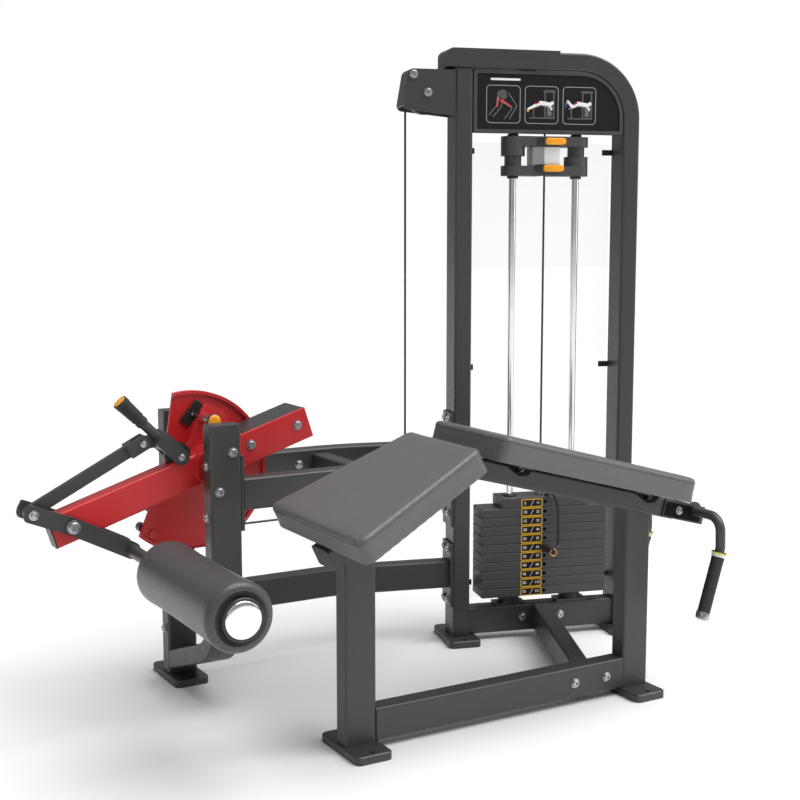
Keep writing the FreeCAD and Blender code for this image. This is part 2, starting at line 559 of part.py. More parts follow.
# ---------------------------------------------------------------- weight tower
def build_tower():
    foot, slim, deep = size("foot_thick"), size("upright_slim"), size("upright_deep")
    broad, tall, top = size("tower_broad"), size("tower_tall"), size("top_beam_tall")
    mid, line = deep / 2, size("stack_line")
    under = tall - top

    post = box_tube("left_upright", "Sizes.upright_slim", "Sizes.upright_deep",
                    "Sizes.tower_tall - Sizes.top_beam_tall - Sizes.foot_thick",
                    frame_in(TOWER, slim / 2, mid, foot), as_node=False)
    slot = tool("cable_slot", Part.makeBox(slim + 2, 16, 22, Vector(-1, line - 8, cable_top() - 11)),
                TOWER)
    node(cut("left_upright", post, slot), "left_upright")

    right = broad - slim / 2
    points = [Vector(right, mid, foot), Vector(right, mid, tall - top / 2), Vector(0, mid, tall - top / 2)]
    path = rounded_path(points, size("tower_bend"))
    wall, corner = size("tube_wall"), size("tube_round")
    outer = swept(path, section_wire(deep, slim, corner), Y_AXIS)
    inner = swept(path, section_wire(deep - 2 * wall, slim - 2 * wall, corner - wall), Y_AXIS)
    shaped("bent_upright", outer.cut(inner), TOWER)

    # cross beams, a tenth short of each upright for the weld
    between = "Sizes.tower_broad - 2 * Sizes.upright_slim - 0.2"
    base_beam = box_tube("tower_base_beam", "Sizes.tube_slim", "Sizes.tube_broad",
                         between, frame_in(TOWER, slim + 0.1, line, foot + size("tube_broad") / 2, Z_TO_X),
                         as_node=False)
    holder = box_tube("rod_holder", "Sizes.tube_slim", "30", between,
                      frame_in(TOWER, slim + 0.1, line, size("rod_top") + 15, Z_TO_X), as_node=False)
    gap = tool("holder_slot", Part.makeCylinder(10, 60, Vector(broad / 2, line, size("rod_top") - 10)), TOWER)
    holder = cut("rod_holder", holder, gap)

    # housing round the top beam's left half
    left, reach, skirt = -26, 329, under + 3
    shell = Part.makeBox(reach, deep + 8, 51, Vector(left, -4, skirt))
    shell = shell.makeFillet(20, [e for e in shell.Edges if e.BoundBox.XMax < left + 0.01
                                  and e.BoundBox.ZMin > under + 50])
    hollow = Part.makeBox(reach, deep + 2, 48, Vector(left + 3, -1, skirt))
    hollow = hollow.makeFillet(17, [e for e in hollow.Edges if e.BoundBox.XMax < left + 3.01
                                    and e.BoundBox.ZMin > under + 50])
    housing = tool("top_housing", shell.cut(hollow), TOWER)

    # cover over the outer pulley, open below and towards the upright
    profile = [Vector(-153, 0, 1522), Vector(-134, 0, 1631), Vector(-1, 0, 1631), Vector(-1, 0, 1507)]
    solid = Part.Face(Part.makePolygon(profile + profile[:1])).extrude(Vector(0, 76, 0))
    corners = [e for e in solid.Edges if e.BoundBox.YLength > 75 and e.BoundBox.XMax < -100]
    solid = solid.makeFillet(16, corners)
    room = [Vector(-150, 3, 1400), Vector(-149.4, 3, 1523), Vector(-131, 3, 1628), Vector(10, 3, 1628),
            Vector(10, 3, 1400)]
    hollow = Part.Face(Part.makePolygon(room + room[:1])).extrude(Vector(0, 70, 0))
    group("pulley_covers", [housing, tool("outer_pulley_cover", solid.cut(hollow), TOWER)])

    # sign plate, its top right corner following the bend
    panel = Part.makeBox(broad - 2 * slim - 2, 6, 174, Vector(slim + 1, 4, under - 175))
    bend = size("tower_bend") - slim / 2 - 1
    panel = panel.makeFillet(bend, [e for e in panel.Edges if e.BoundBox.XMin > broad - slim - 2
                                    and e.BoundBox.ZMin > under - 2])
    shaped("sign_panel", panel, TOWER)

    rod_long = "Sizes.rod_top - Sizes.foot_thick - Sizes.tube_broad"
    rods = [cylinder(f"guide_rod_{i}", "Sizes.rod_radius", rod_long,
                     frame_in(TOWER, broad / 2 + s * size("rod_half_gap"), line, foot + size("tube_broad")))
            for i, s in enumerate((-1, 1))]
    group("guide_rods", rods)

    base = foot + size("tube_broad")
    seats, bumpers = [], []
    for i, s in enumerate((-1, 1)):
        x = broad / 2 + s * size("rod_half_gap")
        bore = size("rod_radius")
        plate = Part.makeBox(92, 48, 7, Vector(x - 46, line - 24, base))
        seat = plate.cut(Part.makeCylinder(bore, 7, Vector(x, line, base)))
        seats.append(tool(f"bumper_seat_{i}", seat, TOWER))
        pad = disc(31, size("stack_floor") - base - 7, bore)
        bumpers.append(tool(f"bumper_{i}", pad, frame_in(TOWER, x, line, base + 7)))
    group("tower_cross_beams", [fuse("tower_base", [base_beam] + seats), holder])
    group("stack_bumpers", bumpers)

    shield = Part.makeBox(broad - 2 * slim - 12, 2.5, 1330, Vector(slim + 6, deep - 5, 110))
    shaped("rear_shield", shield, TOWER)
    tabs = []
    for x, way in ((slim, 1), (broad - slim, -1)):
        for z in (150, 790, 1408):
            tab = Part.makeBox(30, 4, 16, Vector(x if way > 0 else x - 30, deep - 9, z))
            tabs.append(tool(f"tab_{len(tabs)}", tab, TOWER))
    group("shield_tabs", tabs)

    # floor beam from the tower to the bench
    start = TOWER.multVec(Vector(broad / 2, line - size("tube_slim") / 2, base - 40)) - BENCH.Base
    start = Vector(start.x, start.y, base - 40)
    stop = Vector(421, size("bench_line") + size("tube_slim") / 2, base - 40)
    heading = (stop - start).normalize()
    rotation = Rotation(Z_AXIS.cross(heading), Z_AXIS, heading, "ZYX")
    beam = box_tube("floor_beam", "Sizes.tube_slim", "Sizes.tube_broad", f"{(stop - start).Length + 60} mm",
                    frame_in(BENCH, *(start - heading * 30), rotation), as_node=False)
    tower_side = Part.makeBox(600, 200, 300, Vector(0, line - size("tube_slim") / 2, -50))
    ends = [tool("tower_side", tower_side, TOWER),
            tool("bench_side", Part.makeBox(900, 200, 300, Vector(0, stop.y - 200, -50)), BENCH)]
    node(cut("floor_beam", beam, fuse("floor_beam_ends", ends)), "floor_beam")


def cable_top():
    return size("top_pulley_z") + size("pulley_track")


# ---------------------------------------------------------------- weights
def plate_with_bores(long, deep, thick, centre_bore):
    """A plate centred on X and Y: two guide-rod bores and one in the middle."""
    plate = Part.makeBox(long, deep, thick, Vector(-long / 2, -deep / 2, 0))
    plate = plate.makeChamfer(1.5, [e for e in plate.Edges if e.BoundBox.ZLength < 0.01])
    for s in (-1, 1):
        bore = Part.makeCylinder(size("rod_radius") + 1.0, thick, Vector(s * size("rod_half_gap"), 0, 0))
        plate = plate.cut(bore)
    if centre_bore:
        plate = plate.cut(Part.makeCylinder(centre_bore, thick))
    return plate


def stack_plate(index):
    """One plate of the stack, counted from the bottom, with its pin hole."""
    thick = size("plate_thick")
    plate = plate_with_bores(size("plate_long"), size("plate_deep"), thick, size("selector_radius") + 1.0)
    hole = Part.makeCylinder(size("selector_pin_radius") + 0.3, 100, Vector(0, -60, thick / 2), Y_AXIS)
    plate = plate.cut(hole)
    return tool(f"stack_plate_{index}", plate,
                frame_in(TOWER, size("tower_broad") / 2, size("stack_line"),
                         size("stack_floor") + index * size("plate_pitch")))


def build_weights():
    middle, line, pitch = size("tower_broad") / 2, size("stack_line"), size("plate_pitch")
    group("resting_plates", [stack_plate(i) for i in range(RESTING)])

    head_z = size("stack_floor") + PLATES * pitch
    thick = size("head_thick")
    head = plate_with_bores(size("head_long"), size("plate_deep"), thick, size("selector_radius"))
    head = head.cut(Part.makeCylinder(size("selector_pin_radius") + 0.3, 60,
                                      Vector(0, -size("plate_deep"), thick / 2), Y_AXIS))
    group("lifted_plates", [stack_plate(i) for i in range(RESTING, PLATES)]
          + [tool("head_plate", head, frame_in(TOWER, middle, line, head_z))])

    # selector rod: hangs through the plates, its threaded top takes the cable
    rod_long = PLATES * pitch - 6
    rod = Part.makeCylinder(size("selector_radius"), rod_long + thick)
    for i in range(PLATES):
        z = rod_long - (PLATES - i) * pitch + size("plate_thick") / 2
        if z > 8:
            rod = rod.cut(Part.makeCylinder(size("selector_pin_radius") + 0.3, 60, Vector(0, -30, z), Y_AXIS))
    top = rod_long + thick
    rod = rod.fuse([Part.makeCylinder(18, 8, Vector(0, 0, top)),
                    Part.makeCylinder(9, size("rod_fitting"), Vector(0, 0, top)),
                    Part.makeCylinder(12, 10, Vector(0, 0, top + 16))]).removeSplitter()
    shaped("selector_rod", rod, frame_in(TOWER, middle, line, head_z - rod_long))

    # selector pin, pushed into the sixth row from the top
    pin_z = size("stack_floor") + RESTING * pitch + size("plate_thick") / 2
    face = -size("plate_deep") / 2
    pin = Part.makeCylinder(size("selector_pin_radius"), 76, Vector(0, face - 12, 0), Y_AXIS)
    grip = Part.makeCone(11, 8, 70, Vector(0, face - 4, 0), -Y_AXIS)
    collar = Part.makeCylinder(13, 8, Vector(0, face - 10, 0), Y_AXIS)
    ring = Part.makeTorus(10, 3.6, Vector(0, face - 76, 0), Y_AXIS)
    shaped("selector_pin", pin.fuse([grip, collar, ring]).removeSplitter(),
           frame_in(TOWER, middle, line, pin_z))

    build_addon("lower_addon", size("addon_low"), 1)
    build_addon("upper_addon", size("addon_low") + 110, -1)


def build_addon(label, base, way):
    """Small add-on weight on the guide rods: bar, tall hub at one rod, sleeve at the other.

    The upper one is the lower one turned over, so that they nest.
    """
    gap, middle, line = size("rod_half_gap"), size("tower_broad") / 2, size("stack_line")
    bar = Part.Face(section_wire(2 * gap + 68, 68, 33.5)).extrude(Vector(0, 0, 28))
    weight = bar.fuse(Part.makeCylinder(34, 54.7, Vector(gap, 0, 0)))
    weight = weight.fuse(Part.makeCylinder(24, 54.7, Vector(-gap, 0, 0))).removeSplitter()
    for s in (-1, 1):
        weight = weight.cut(Part.makeCylinder(size("rod_radius") + 0.5, 60, Vector(s * gap, 0, 0)))
    weight = weight.cut(Part.makeCylinder(14, 60))
    slot = Part.makeBox(28, 60, 60, Vector(-14, 0, 0))
    weight = weight.cut(slot)
    turn = UPRIGHT if way > 0 else Rotation(Y_AXIS, 180)
    shaped(label, weight, frame_in(TOWER, middle, line, base, turn))


# ---------------------------------------------------------------- pulleys and cable
def pulley(track, thick=20.0, bore=8.05):
    """Grooved pulley round Z, centred on its own middle plane."""
    wheel = Part.makeCylinder(track + 3, thick, Vector(0, 0, -thick / 2))
    groove = Part.makeTorus(track, size("cable_radius") + 0.15)
    lip = Part.makeCylinder(track + 5, 2 * size("cable_radius") + 0.3,
                            Vector(0, 0, -size("cable_radius") - 0.15))
    lip = lip.cut(Part.makeCylinder(track, 20, Vector(0, 0, -10)))
    wheel = wheel.cut(groove).cut(lip)
    for z in (thick / 2 - 4, -thick / 2):
        face = Part.makeCylinder(track - 10, 4, Vector(0, 0, z))
        face = face.cut(Part.makeCylinder(18, 4, Vector(0, 0, z)))
        wheel = wheel.cut(face)
    return wheel.cut(Part.makeCylinder(bore, thick, Vector(0, 0, -thick / 2)))


def outer_run():
    """Plan position of the cable's outer upright run, in the bench's own numbers."""
    return TOWER.multVec(Vector(size("outer_run_x"), size("stack_line"), 0)) - BENCH.Base


def build_pulleys():
    line, z = size("stack_line"), size("top_pulley_z")
    track, low_track = size("pulley_track"), size("low_pulley_track")
    run = outer_run()
    low_z = size("pivot_z") - size("track_radius") + low_track
    low_at = frame_in(BENCH, run.x - low_track, run.y, low_z, Z_TO_Y)
    outer_x = size("outer_run_x") + track
    inner_x = size("tower_broad") / 2 - track
    shaped("outer_pulley", pulley(track), frame_in(TOWER, outer_x, line, z, Z_TO_Y))
    shaped("centre_pulley", pulley(track), frame_in(TOWER, inner_x, line, z, Z_TO_Y))
    shaped("low_pulley", pulley(low_track), low_at)

    rail_under = size("high_rail_z") - size("tube_broad") / 2
    under = size("tower_tall") - size("top_beam_tall")
    low_x = run.x - low_track
    inner = [Part.makeCylinder(8, 36, Vector(inner_x, line - 18, z), Y_AXIS)]
    low = [Part.makeCylinder(8, 36, Vector(low_x, run.y - 18, low_z), Y_AXIS)]
    for way in (-1, 1):
        inner.append(Part.makeBox(44, 4, under - z + 18, Vector(inner_x - 22, line + way * 14 - 2, z - 18)))
        low.append(Part.makeBox(40, 4, rail_under - low_z + 18,
                                Vector(low_x - 20, run.y + way * 14 - 2, low_z - 18)))
    group("pulley_mounts", [
        tool("outer_axle", Part.makeCylinder(8, 70, Vector(outer_x, 3, z), Y_AXIS), TOWER),
        tool("inner_mount", inner[0].fuse(inner[1:]), TOWER),
        tool("low_mount", low[0].fuse(low[1:]), BENCH)])


def build_cable():
    """Steel cable from the cam's track, under the low pulley, up, and over the top two pulleys."""
    radius = size("cable_radius")
    run, line = outer_run(), size("stack_line")
    track, low_track = size("pulley_track"), size("low_pulley_track")
    low_z = size("pivot_z") - size("track_radius")
    top = cable_top()
    outer_x, middle = size("outer_run_x"), size("tower_broad") / 2
    first = rounded_path([Vector(size("stand_x"), run.y, low_z), Vector(run.x, run.y, low_z),
                          Vector(run.x, run.y, 1000)], low_track)
    ring = Part.Wire([Part.Circle(Vector(), Z_AXIS, radius).toShape()])
    lower = swept(first, ring, Y_AXIS)
    second = rounded_path([Vector(outer_x, line, 1000), Vector(outer_x, line, top),
                           Vector(middle, line, top), Vector(middle, line, size("top_pulley_z") - 20)],
                          track)
    upper = swept(second, ring, Y_AXIS)
    group("cable_run", [tool("cable_lower_part", lower, BENCH), tool("cable_upper_part", upper, TOWER)])
    for name, solid, path in (("lower", lower, first), ("upper", upper, second)):
        print(f"cable {name} part: volume over section times length "
              f"{solid.Volume / (math.pi * radius ** 2 * path.Length):.4f}")

    head_top = size("stack_floor") + PLATES * size("plate_pitch") + size("head_thick")
    low = head_top + size("rod_fitting")
    long = size("top_pulley_z") - 20 - low
    shaped("stack_cable", Part.makeCylinder(radius, long), frame_in(TOWER, middle, line, low))


# ---------------------------------------------------------------- cam
def sector(inner, outer, thick, start, stop, y):
    """Ring sector round the hinge line, between two angles in degrees from +X towards +Z."""
    ring = Part.makeCylinder(outer, thick, Vector(0, y, 0), Y_AXIS)
    if inner:
        ring = ring.cut(Part.makeCylinder(inner, thick, Vector(0, y, 0), Y_AXIS))
    reach = 3 * outer
    steps = [math.radians(start + (stop - start) * i / 4) for i in range(5)]
    fan = [Vector(0, y, 0)] + [Vector(reach * math.cos(a), y, reach * math.sin(a)) for a in steps]
    wedge = Part.Face(Part.makePolygon(fan + fan[:1])).extrude(Vector(0, thick, 0))
    return ring.common(wedge)


def on_index_circle(step):
    angle = math.radians(size("index_angle") - step * size("index_step"))
    return size("index_radius") * math.cos(angle), size("index_radius") * math.sin(angle)


def build_cam():
    shaft = size("shaft_radius")
    front, thick = size("cam_front"), size("cam_thick")
    track_y = outer_run().y
    start_y = size("front_post_y") + size("tube_slim") / 2 + 1
    end_y = size("rear_post_y") - size("tube_slim") / 2 - 1
    shaped("pivot_shaft", Part.makeCylinder(shaft, end_y - start_y, Vector(0, start_y, 0), Y_AXIS), PIVOT)

    # big eccentric plate with a raised rim on its front
    x, z, radius = size("cam_off_x"), size("cam_off_z"), size("cam_radius")
    outline = [Vector(-33, 0, 240), Vector(-72, 0, 0), Vector(-79, 0, -40), Vector(-160, 0, -236),
               Vector(300, 0, -236), Vector(300, 0, 240)]
    keep = Part.Face(Part.makePolygon(outline + outline[:1])).extrude(Vector(0, 60, 0))
    keep.translate(Vector(0, front - 20, 0))
    plate = Part.makeCylinder(radius, thick, Vector(x, front, z), Y_AXIS)
    rim = Part.makeCylinder(radius, 7, Vector(x, front - 7, z), Y_AXIS)
    rim = rim.cut(Part.makeCylinder(radius - 9, 7, Vector(x, front - 7, z), Y_AXIS))
    groove = Part.makeTorus(radius + 1, 2.6, Vector(x, front - 1, z), Y_AXIS)
    plate = plate.fuse(rim).common(keep).cut(groove)
    plate = plate.cut(Part.makeCylinder(shaft, 60, Vector(0, front - 20, 0), Y_AXIS))
    for step in range(4):
        hole_x, hole_z = on_index_circle(step)
        plate = plate.cut(Part.makeCylinder(5.4, 60, Vector(hole_x, front - 20, hole_z), Y_AXIS))
    plate = plate.fuse(Part.makeCylinder(11, 8, Vector(-107, front - 8, -187), Y_AXIS)).removeSplitter()
    shaped("cam_plate", plate, PIVOT)

    # grooved track, concentric with the shaft, its web, and the spacer up to the plate
    back = front + thick
    cable = size("cable_radius")
    track = size("track_radius")
    low, high = -104, 22
    rim = sector(track - 12, track + 6, 18, low, high, track_y - 9)
    rim = rim.cut(sector(track - cable - 0.1, track + 7, 2 * cable + 1, low - 1, high + 1,
                         track_y - cable - 0.5))
    web = sector(0, track - 11, 8, low, high, track_y - 4)
    hub = Part.makeCylinder(42, track_y + 4 - back, Vector(0, back, 0), Y_AXIS)
    body = rim.fuse([web, hub]).removeSplitter()
    body = body.cut(Part.makeCylinder(shaft, 100, Vector(0, back - 10, 0), Y_AXIS))
    shaped("cable_track", body, PIVOT)

    # the cable's end, wrapped on the track from its anchor to where the straight run leaves it
    a, b = math.radians(-99), math.radians(-90.1)
    m = (a + b) / 2
    arc = Part.Arc(*(Vector(track * math.cos(t), track_y, track * math.sin(t)) for t in (b, m, a)))
    path = Part.Wire([arc.toShape()])
    ring = Part.Wire([Part.Circle(Vector(), Z_AXIS, cable).toShape()])
    shaped("track_cable", swept(path, ring, Y_AXIS), PIVOT)

    clamp = Part.Face(section_wire(69, 31, 5)).extrude(Vector(0, 0, 8))
    clamp = clamp.makeChamfer(1.5, [e for e in clamp.Edges if e.BoundBox.ZMin > 7.9])
    bush = disc(10, 10, 5.3)
    place = Placement(Vector(5, front, 117), Rotation(Y_AXIS, -48).multiply(Rotation(X_AXIS, 90)))
    hole_x, hole_z = on_index_circle(0)
    clamp.Placement = place
    bush.Placement = Placement(Vector(hole_x, front, hole_z), Rotation(X_AXIS, 90))
    block = clamp.cut(Part.makeCylinder(10, 20, Vector(hole_x, front - 15, hole_z), Y_AXIS))
    stops = [tool(f"cam_stop_{i}", Part.makeCylinder(12, 26, Vector(px, back, pz), Y_AXIS), PIVOT)
             for i, (px, pz) in enumerate(((-128, -172), (-104, -124)))]
    group("cam_blocks", [tool("index_block", block.fuse(bush), PIVOT)] + stops)


# ---------------------------------------------------------------- curl arm
def build_arm():
    broad, slim, line = size("tube_broad"), size("tube_slim"), size("arm_line")
    shaft = size("shaft_radius")
    front = line - slim / 2
    low, end, high = size("arm_low_end"), size("arm_tube_end"), size("arm_high_end")

    tube_long = "Sizes.arm_tube_end - Sizes.arm_low_end"
    tube = box_tube("arm_tube", "Sizes.tube_slim", "Sizes.tube_broad", tube_long,
                    frame_in(ARM, low, line, 0, Z_TO_X), as_node=False)
    lever_x = size("lever_x")
    hub = tool("arm_hub", Part.makeCylinder(45, 144, Vector(0, 150, 0), Y_AXIS), ARM)

    cap = Part.Face(section_wire(slim, broad, size("tube_round"))).extrude(Vector(0, 0, 4))
    shaped("arm_end_cap", cap, frame_in(ARM, low - 4, line, 0, Z_TO_X))

    cheek = Part.makeBox(high - end, 8, broad, Vector(end, front, -broad / 2))
    cheek = cheek.makeFillet(1.5, [e for e in cheek.Edges if e.BoundBox.YMax < front + 0.01])
    block = Part.makeBox(high - end, size("counter_deep"), broad, Vector(end, front + 8, -broad / 2))
    edges = [e for e in block.Edges if e.BoundBox.YLength > size("counter_deep") - 1]
    shaped("counterweight", block.makeChamfer(2, edges), ARM)

    # bracket for the pull pin, standing on the arm's rear face
    pin_x, pin_z = on_index_circle(0)
    outline = [(-34, 46), (10, 150), (62, 128), (96, 40), (60, 30), (-20, 30)]
    points = [Vector(px, line + slim / 2, pz) for px, pz in outline]
    plate = Part.Face(Part.makePolygon(points + points[:1])).extrude(Vector(0, 8, 0))
    plate = plate.makeFillet(8, [e for e in plate.Edges if e.BoundBox.YLength > 7 and e.BoundBox.ZMin > 100])
    boss = Part.makeCylinder(13, slim / 2 - 8, Vector(pin_x, line + 8, pin_z), Y_AXIS)
    arm = fuse("arm", [tube, hub, tool("side_plate", cheek, ARM), tool("bracket_plate", plate, PIVOT),
                       tool("pin_boss", boss, PIVOT)])
    pin_bore = Part.makeCylinder(5.2, 60, Vector(pin_x, line, pin_z), Y_AXIS)
    bores = tool("arm_bores", Part.makeCylinder(shaft + 0.05, 160, Vector(0, 145, 0), Y_AXIS).fuse(
        Part.makeCylinder(10, 200, Vector(lever_x, 100, 0), Y_AXIS)), ARM)
    bored = cut("arm_bored", arm, bores)
    relieved = cut("arm_relieved", bored, tool("counterweight_room", block, ARM))
    node(cut("curl_arm", relieved, tool("pin_bore", pin_bore, PIVOT)), "curl_arm")

    tip = size("cam_front") - 11
    knob_y, knob_long, socket = size("knob_y"), 26, 8
    pin_y = knob_y + socket
    pin = Part.makeCylinder(5, tip - pin_y, Vector(pin_x, pin_y, pin_z), Y_AXIS)
    collar_y = knob_y + knob_long
    collar = sleeve(5, 11, Vector(pin_x, collar_y, pin_z), Y_AXIS, line + 8 - collar_y)
    shaped("pull_pin", pin.fuse(collar).removeSplitter(), PIVOT)
    knob = Part.makeCylinder(17, knob_long, Vector(pin_x, knob_y, pin_z), Y_AXIS)
    knob = knob.makeFillet(8, [e for e in knob.Edges if e.BoundBox.YMax < knob_y + 0.01])
    shaped("pull_knob", knob.cut(Part.makeCylinder(5, 100, Vector(pin_x, pin_y, pin_z), Y_AXIS)), PIVOT)

    # lever's axle, and the lug and disc that carry the adjuster handle
    ax, az = size("adjust_x"), size("adjust_z")
    pegs = [tool("lever_axle", Part.makeCylinder(10, 92, Vector(lever_x, line - 44, 0), Y_AXIS), ARM),
            tool("adjust_axle", Part.makeCylinder(7, 71, Vector(ax, line - 35.5, az), Y_AXIS), ARM)]
    front = line - slim / 2
    spots = [(Vector(122, front, 6), 6.5), (Vector(258, front, 4), 6.5),
             (Vector(lever_x, line - 44, 0), 9.0), (Vector(ax, line - 35.5, az), 5.0)]
    for i, (at, radius) in enumerate(spots):
        pegs.append(tool(f"arm_bolt_{i}", bolt(radius), frame_in(ARM, *at, facing(-Y_AXIS))))
    group("arm_fasteners", pegs)
    lug = Part.makeBox(44, 10, 30, Vector(ax - 22, line - 5, broad / 2))
    lug = lug.fuse(Part.makeCylinder(34, 10, Vector(ax, line - 5, az), Y_AXIS)).removeSplitter()
    lug = lug.cut(Part.makeBox(200, 60, broad, Vector(ax - 100, line - 25, -broad / 2)))
    shaped("detent_disc", lug.cut(Part.makeCylinder(7, 60, Vector(ax, line - 20, az), Y_AXIS)), ARM)


def rounded_link(start, stop, radius, thick, y, bore):
    """Flat bar with round ends between two pins, its plane facing Y."""
    run = stop - start
    bar = Part.makeBox(run.Length, thick, 2 * radius, Vector(0, 0, -radius))
    angle = math.degrees(math.atan2(run.z, run.x))
    bar.Placement = Placement(Vector(start.x, y, start.z), Rotation(Y_AXIS, -angle))
    for end in (start, stop):
        bar = bar.fuse(Part.makeCylinder(radius, thick, Vector(end.x, y, end.z), Y_AXIS))
    bar = bar.removeSplitter()
    for end in (start, stop):
        bar = bar.cut(Part.makeCylinder(bore, thick, Vector(end.x, y, end.z), Y_AXIS))
    return bar


def squared_heel(start, stop, radius, thick, y, beyond):
    """Square end of a flat bar, beyond its first pin; its two corners are rounded."""
    run = stop - start
    heel = Part.makeBox(beyond + radius, thick, 2 * radius, Vector(-beyond, 0, -radius))
    corners = [e for e in heel.Edges if e.BoundBox.YLength > thick - 1 and e.BoundBox.XMax < 1 - beyond]
    heel = heel.makeFillet(7, corners)
    angle = math.degrees(math.atan2(run.z, run.x))
    heel.Placement = Placement(Vector(start.x, y, start.z), Rotation(Y_AXIS, -angle))
    return heel


def build_adjuster():
    """Parallelogram that swings the roller: handle, link bar and lever, all in ARM numbers."""
    line, slim = size("arm_line"), size("tube_slim")
    crank = Vector(size("crank_x"), 0, size("crank_z"))
    lever_pin = Vector(size("lever_x"), 0, 0)
    handle_pin = Vector(size("adjust_x"), 0, size("adjust_z"))
    roller = lever_pin + Vector(size("roller_off_x"), 0, size("roller_off_z"))
    tail = lever_pin + crank
    crank_pin = handle_pin + crank
    near, far = line - slim / 2 - 12, line + slim / 2 + 4

    plates = []
    for name, y in (("near", near), ("far", far)):
        cheek = rounded_link(tail, lever_pin, 21, 8, y, 6)
        cheek = cheek.fuse([rounded_link(lever_pin, roller, 21, 8, y, 16),
                            squared_heel(tail, lever_pin, 21, 8, y, 16)]).removeSplitter()
        cheek = cheek.cut(Part.makeCylinder(10.05, 8, Vector(lever_pin.x, y, 0), Y_AXIS))
        cheek = cheek.cut(Part.makeCylinder(16, 8, Vector(roller.x, y, roller.z), Y_AXIS))
        plates.append(tool(f"lever_{name}", cheek, ARM))
    tail_pin = Part.makeCylinder(6, far - near + 16, Vector(tail.x, near - 4, tail.z), Y_AXIS)
    out = size("bench_line") - size("roller_long") / 2
    end_gap = 0.5
    start_y = out - end_gap
    shaft = Part.makeCylinder(16, far + 8 - start_y, Vector(roller.x, start_y, roller.z), Y_AXIS)
    collar_y = out + size("roller_long") + end_gap
    collar = sleeve(16, 24, Vector(roller.x, collar_y, roller.z), Y_AXIS, 14)
    weld("roller_lever", plates + [tool("tail_pin", tail_pin, ARM), tool("roller_shaft", shaft, ARM),
                                   tool("shaft_collar", collar, ARM)])

    # link: a bar whose high end is a clevis round the handle's ear
    run = (crank_pin - tail).normalize()
    tilt = Rotation(Y_AXIS, -math.degrees(math.atan2(run.z, run.x)))
    bar = rounded_link(tail, crank_pin - run * 26, 15, 18, line - 9, 6.05)
    clevis = Part.makeBox(54, 36, 36, Vector(-40, -18, -18))
    clevis = clevis.makeChamfer(2, [e for e in clevis.Edges if e.BoundBox.YLength > 30])
    clevis.Placement = Placement(crank_pin + Vector(0, line, 0), tilt)
    slot = Part.makeBox(60, 11, 60, Vector(-20, -5.5, -30))
    slot.Placement = clevis.Placement
    link = bar.fuse(clevis).cut(slot)
    link = link.cut(Part.makeCylinder(6.05, 80, Vector(crank_pin.x, line - 40, crank_pin.z), Y_AXIS))
    shaped("link_bar", link, ARM)

    # handle: a yoke astride the arm, an ear for the link's pin, and a tube with the grip
    reach = Vector(math.cos(math.radians(116.9)), 0, math.sin(math.radians(116.9)))
    along = Rotation(Y_AXIS, math.degrees(math.atan2(reach.x, reach.z)))
    pieces = []
    for y in (line - 35, line + 27):
        cheek = rounded_link(handle_pin, handle_pin + reach * 52, 20, 8, y, 7.05)
        cheek = cheek.fuse(Part.makeCylinder(7.05, 8, Vector(0, y, 0) + handle_pin + reach * 52, Y_AXIS))
        pieces.append(cheek)
    bridge = Part.makeBox(40, 70, 26, Vector(-20, -35, 46))
    bridge.Placement = Placement(handle_pin + Vector(0, line, 0), along)
    ear = rounded_link(handle_pin + reach * 60, crank_pin, 16, 10, line - 5, 6)
    ear = ear.fuse(Part.makeCylinder(6, 10, handle_pin + reach * 60 + Vector(0, line - 5, 0), Y_AXIS))
    pin = Part.makeCylinder(6, 42, Vector(crank_pin.x, line - 21, crank_pin.z), Y_AXIS)
    base = handle_pin + Vector(0, line, 0)
    stem_radius = size("stem_radius")
    stem = Part.makeCylinder(stem_radius, size("stem_long"), base + reach * size("stem_start"), reach)
    pieces += [bridge, ear, pin, stem]
    handle = pieces[0].fuse(pieces[1:]).removeSplitter()
    shaped("adjust_handle", handle, ARM)
    grip_base = base + reach * size("stem_grip")
    shaped("handle_grip", sleeve(stem_radius, 16, grip_base, reach, 56), ARM)
    cap = Part.makeCylinder(17, 12, grip_base + reach * 56, reach)
    shaped("handle_cap", cap, ARM)

    # roller: core tube, foam sleeve and end discs
    long, radius = size("roller_long"), size("roller_radius")
    start = Vector(roller.x, out, roller.z)
    foam = sleeve(24, radius, start + Vector(0, 6, 0), Y_AXIS, long - 12)
    foam = foam.makeFillet(12, [e for e in foam.Edges if e.BoundBox.XLength > 2 * radius - 1])
    shaped("foam_roller", foam, ARM)
    core = sleeve(16.05, 24, start, Y_AXIS, long)
    ends = [sleeve(23, 42, start, Y_AXIS, 6), sleeve(23, 42, start + Vector(0, long - 6, 0), Y_AXIS, 6)]
    shaped("roller_core", core.fuse(ends).removeSplitter(), ARM)
    cap_y = start_y - 10
    dome = Part.makeCylinder(40, 10, Vector(roller.x, cap_y, roller.z), Y_AXIS)
    dome = dome.makeFillet(8, [e for e in dome.Edges if e.BoundBox.YMax < cap_y + 0.1])
    shaped("roller_end_cap", dome, ARM)


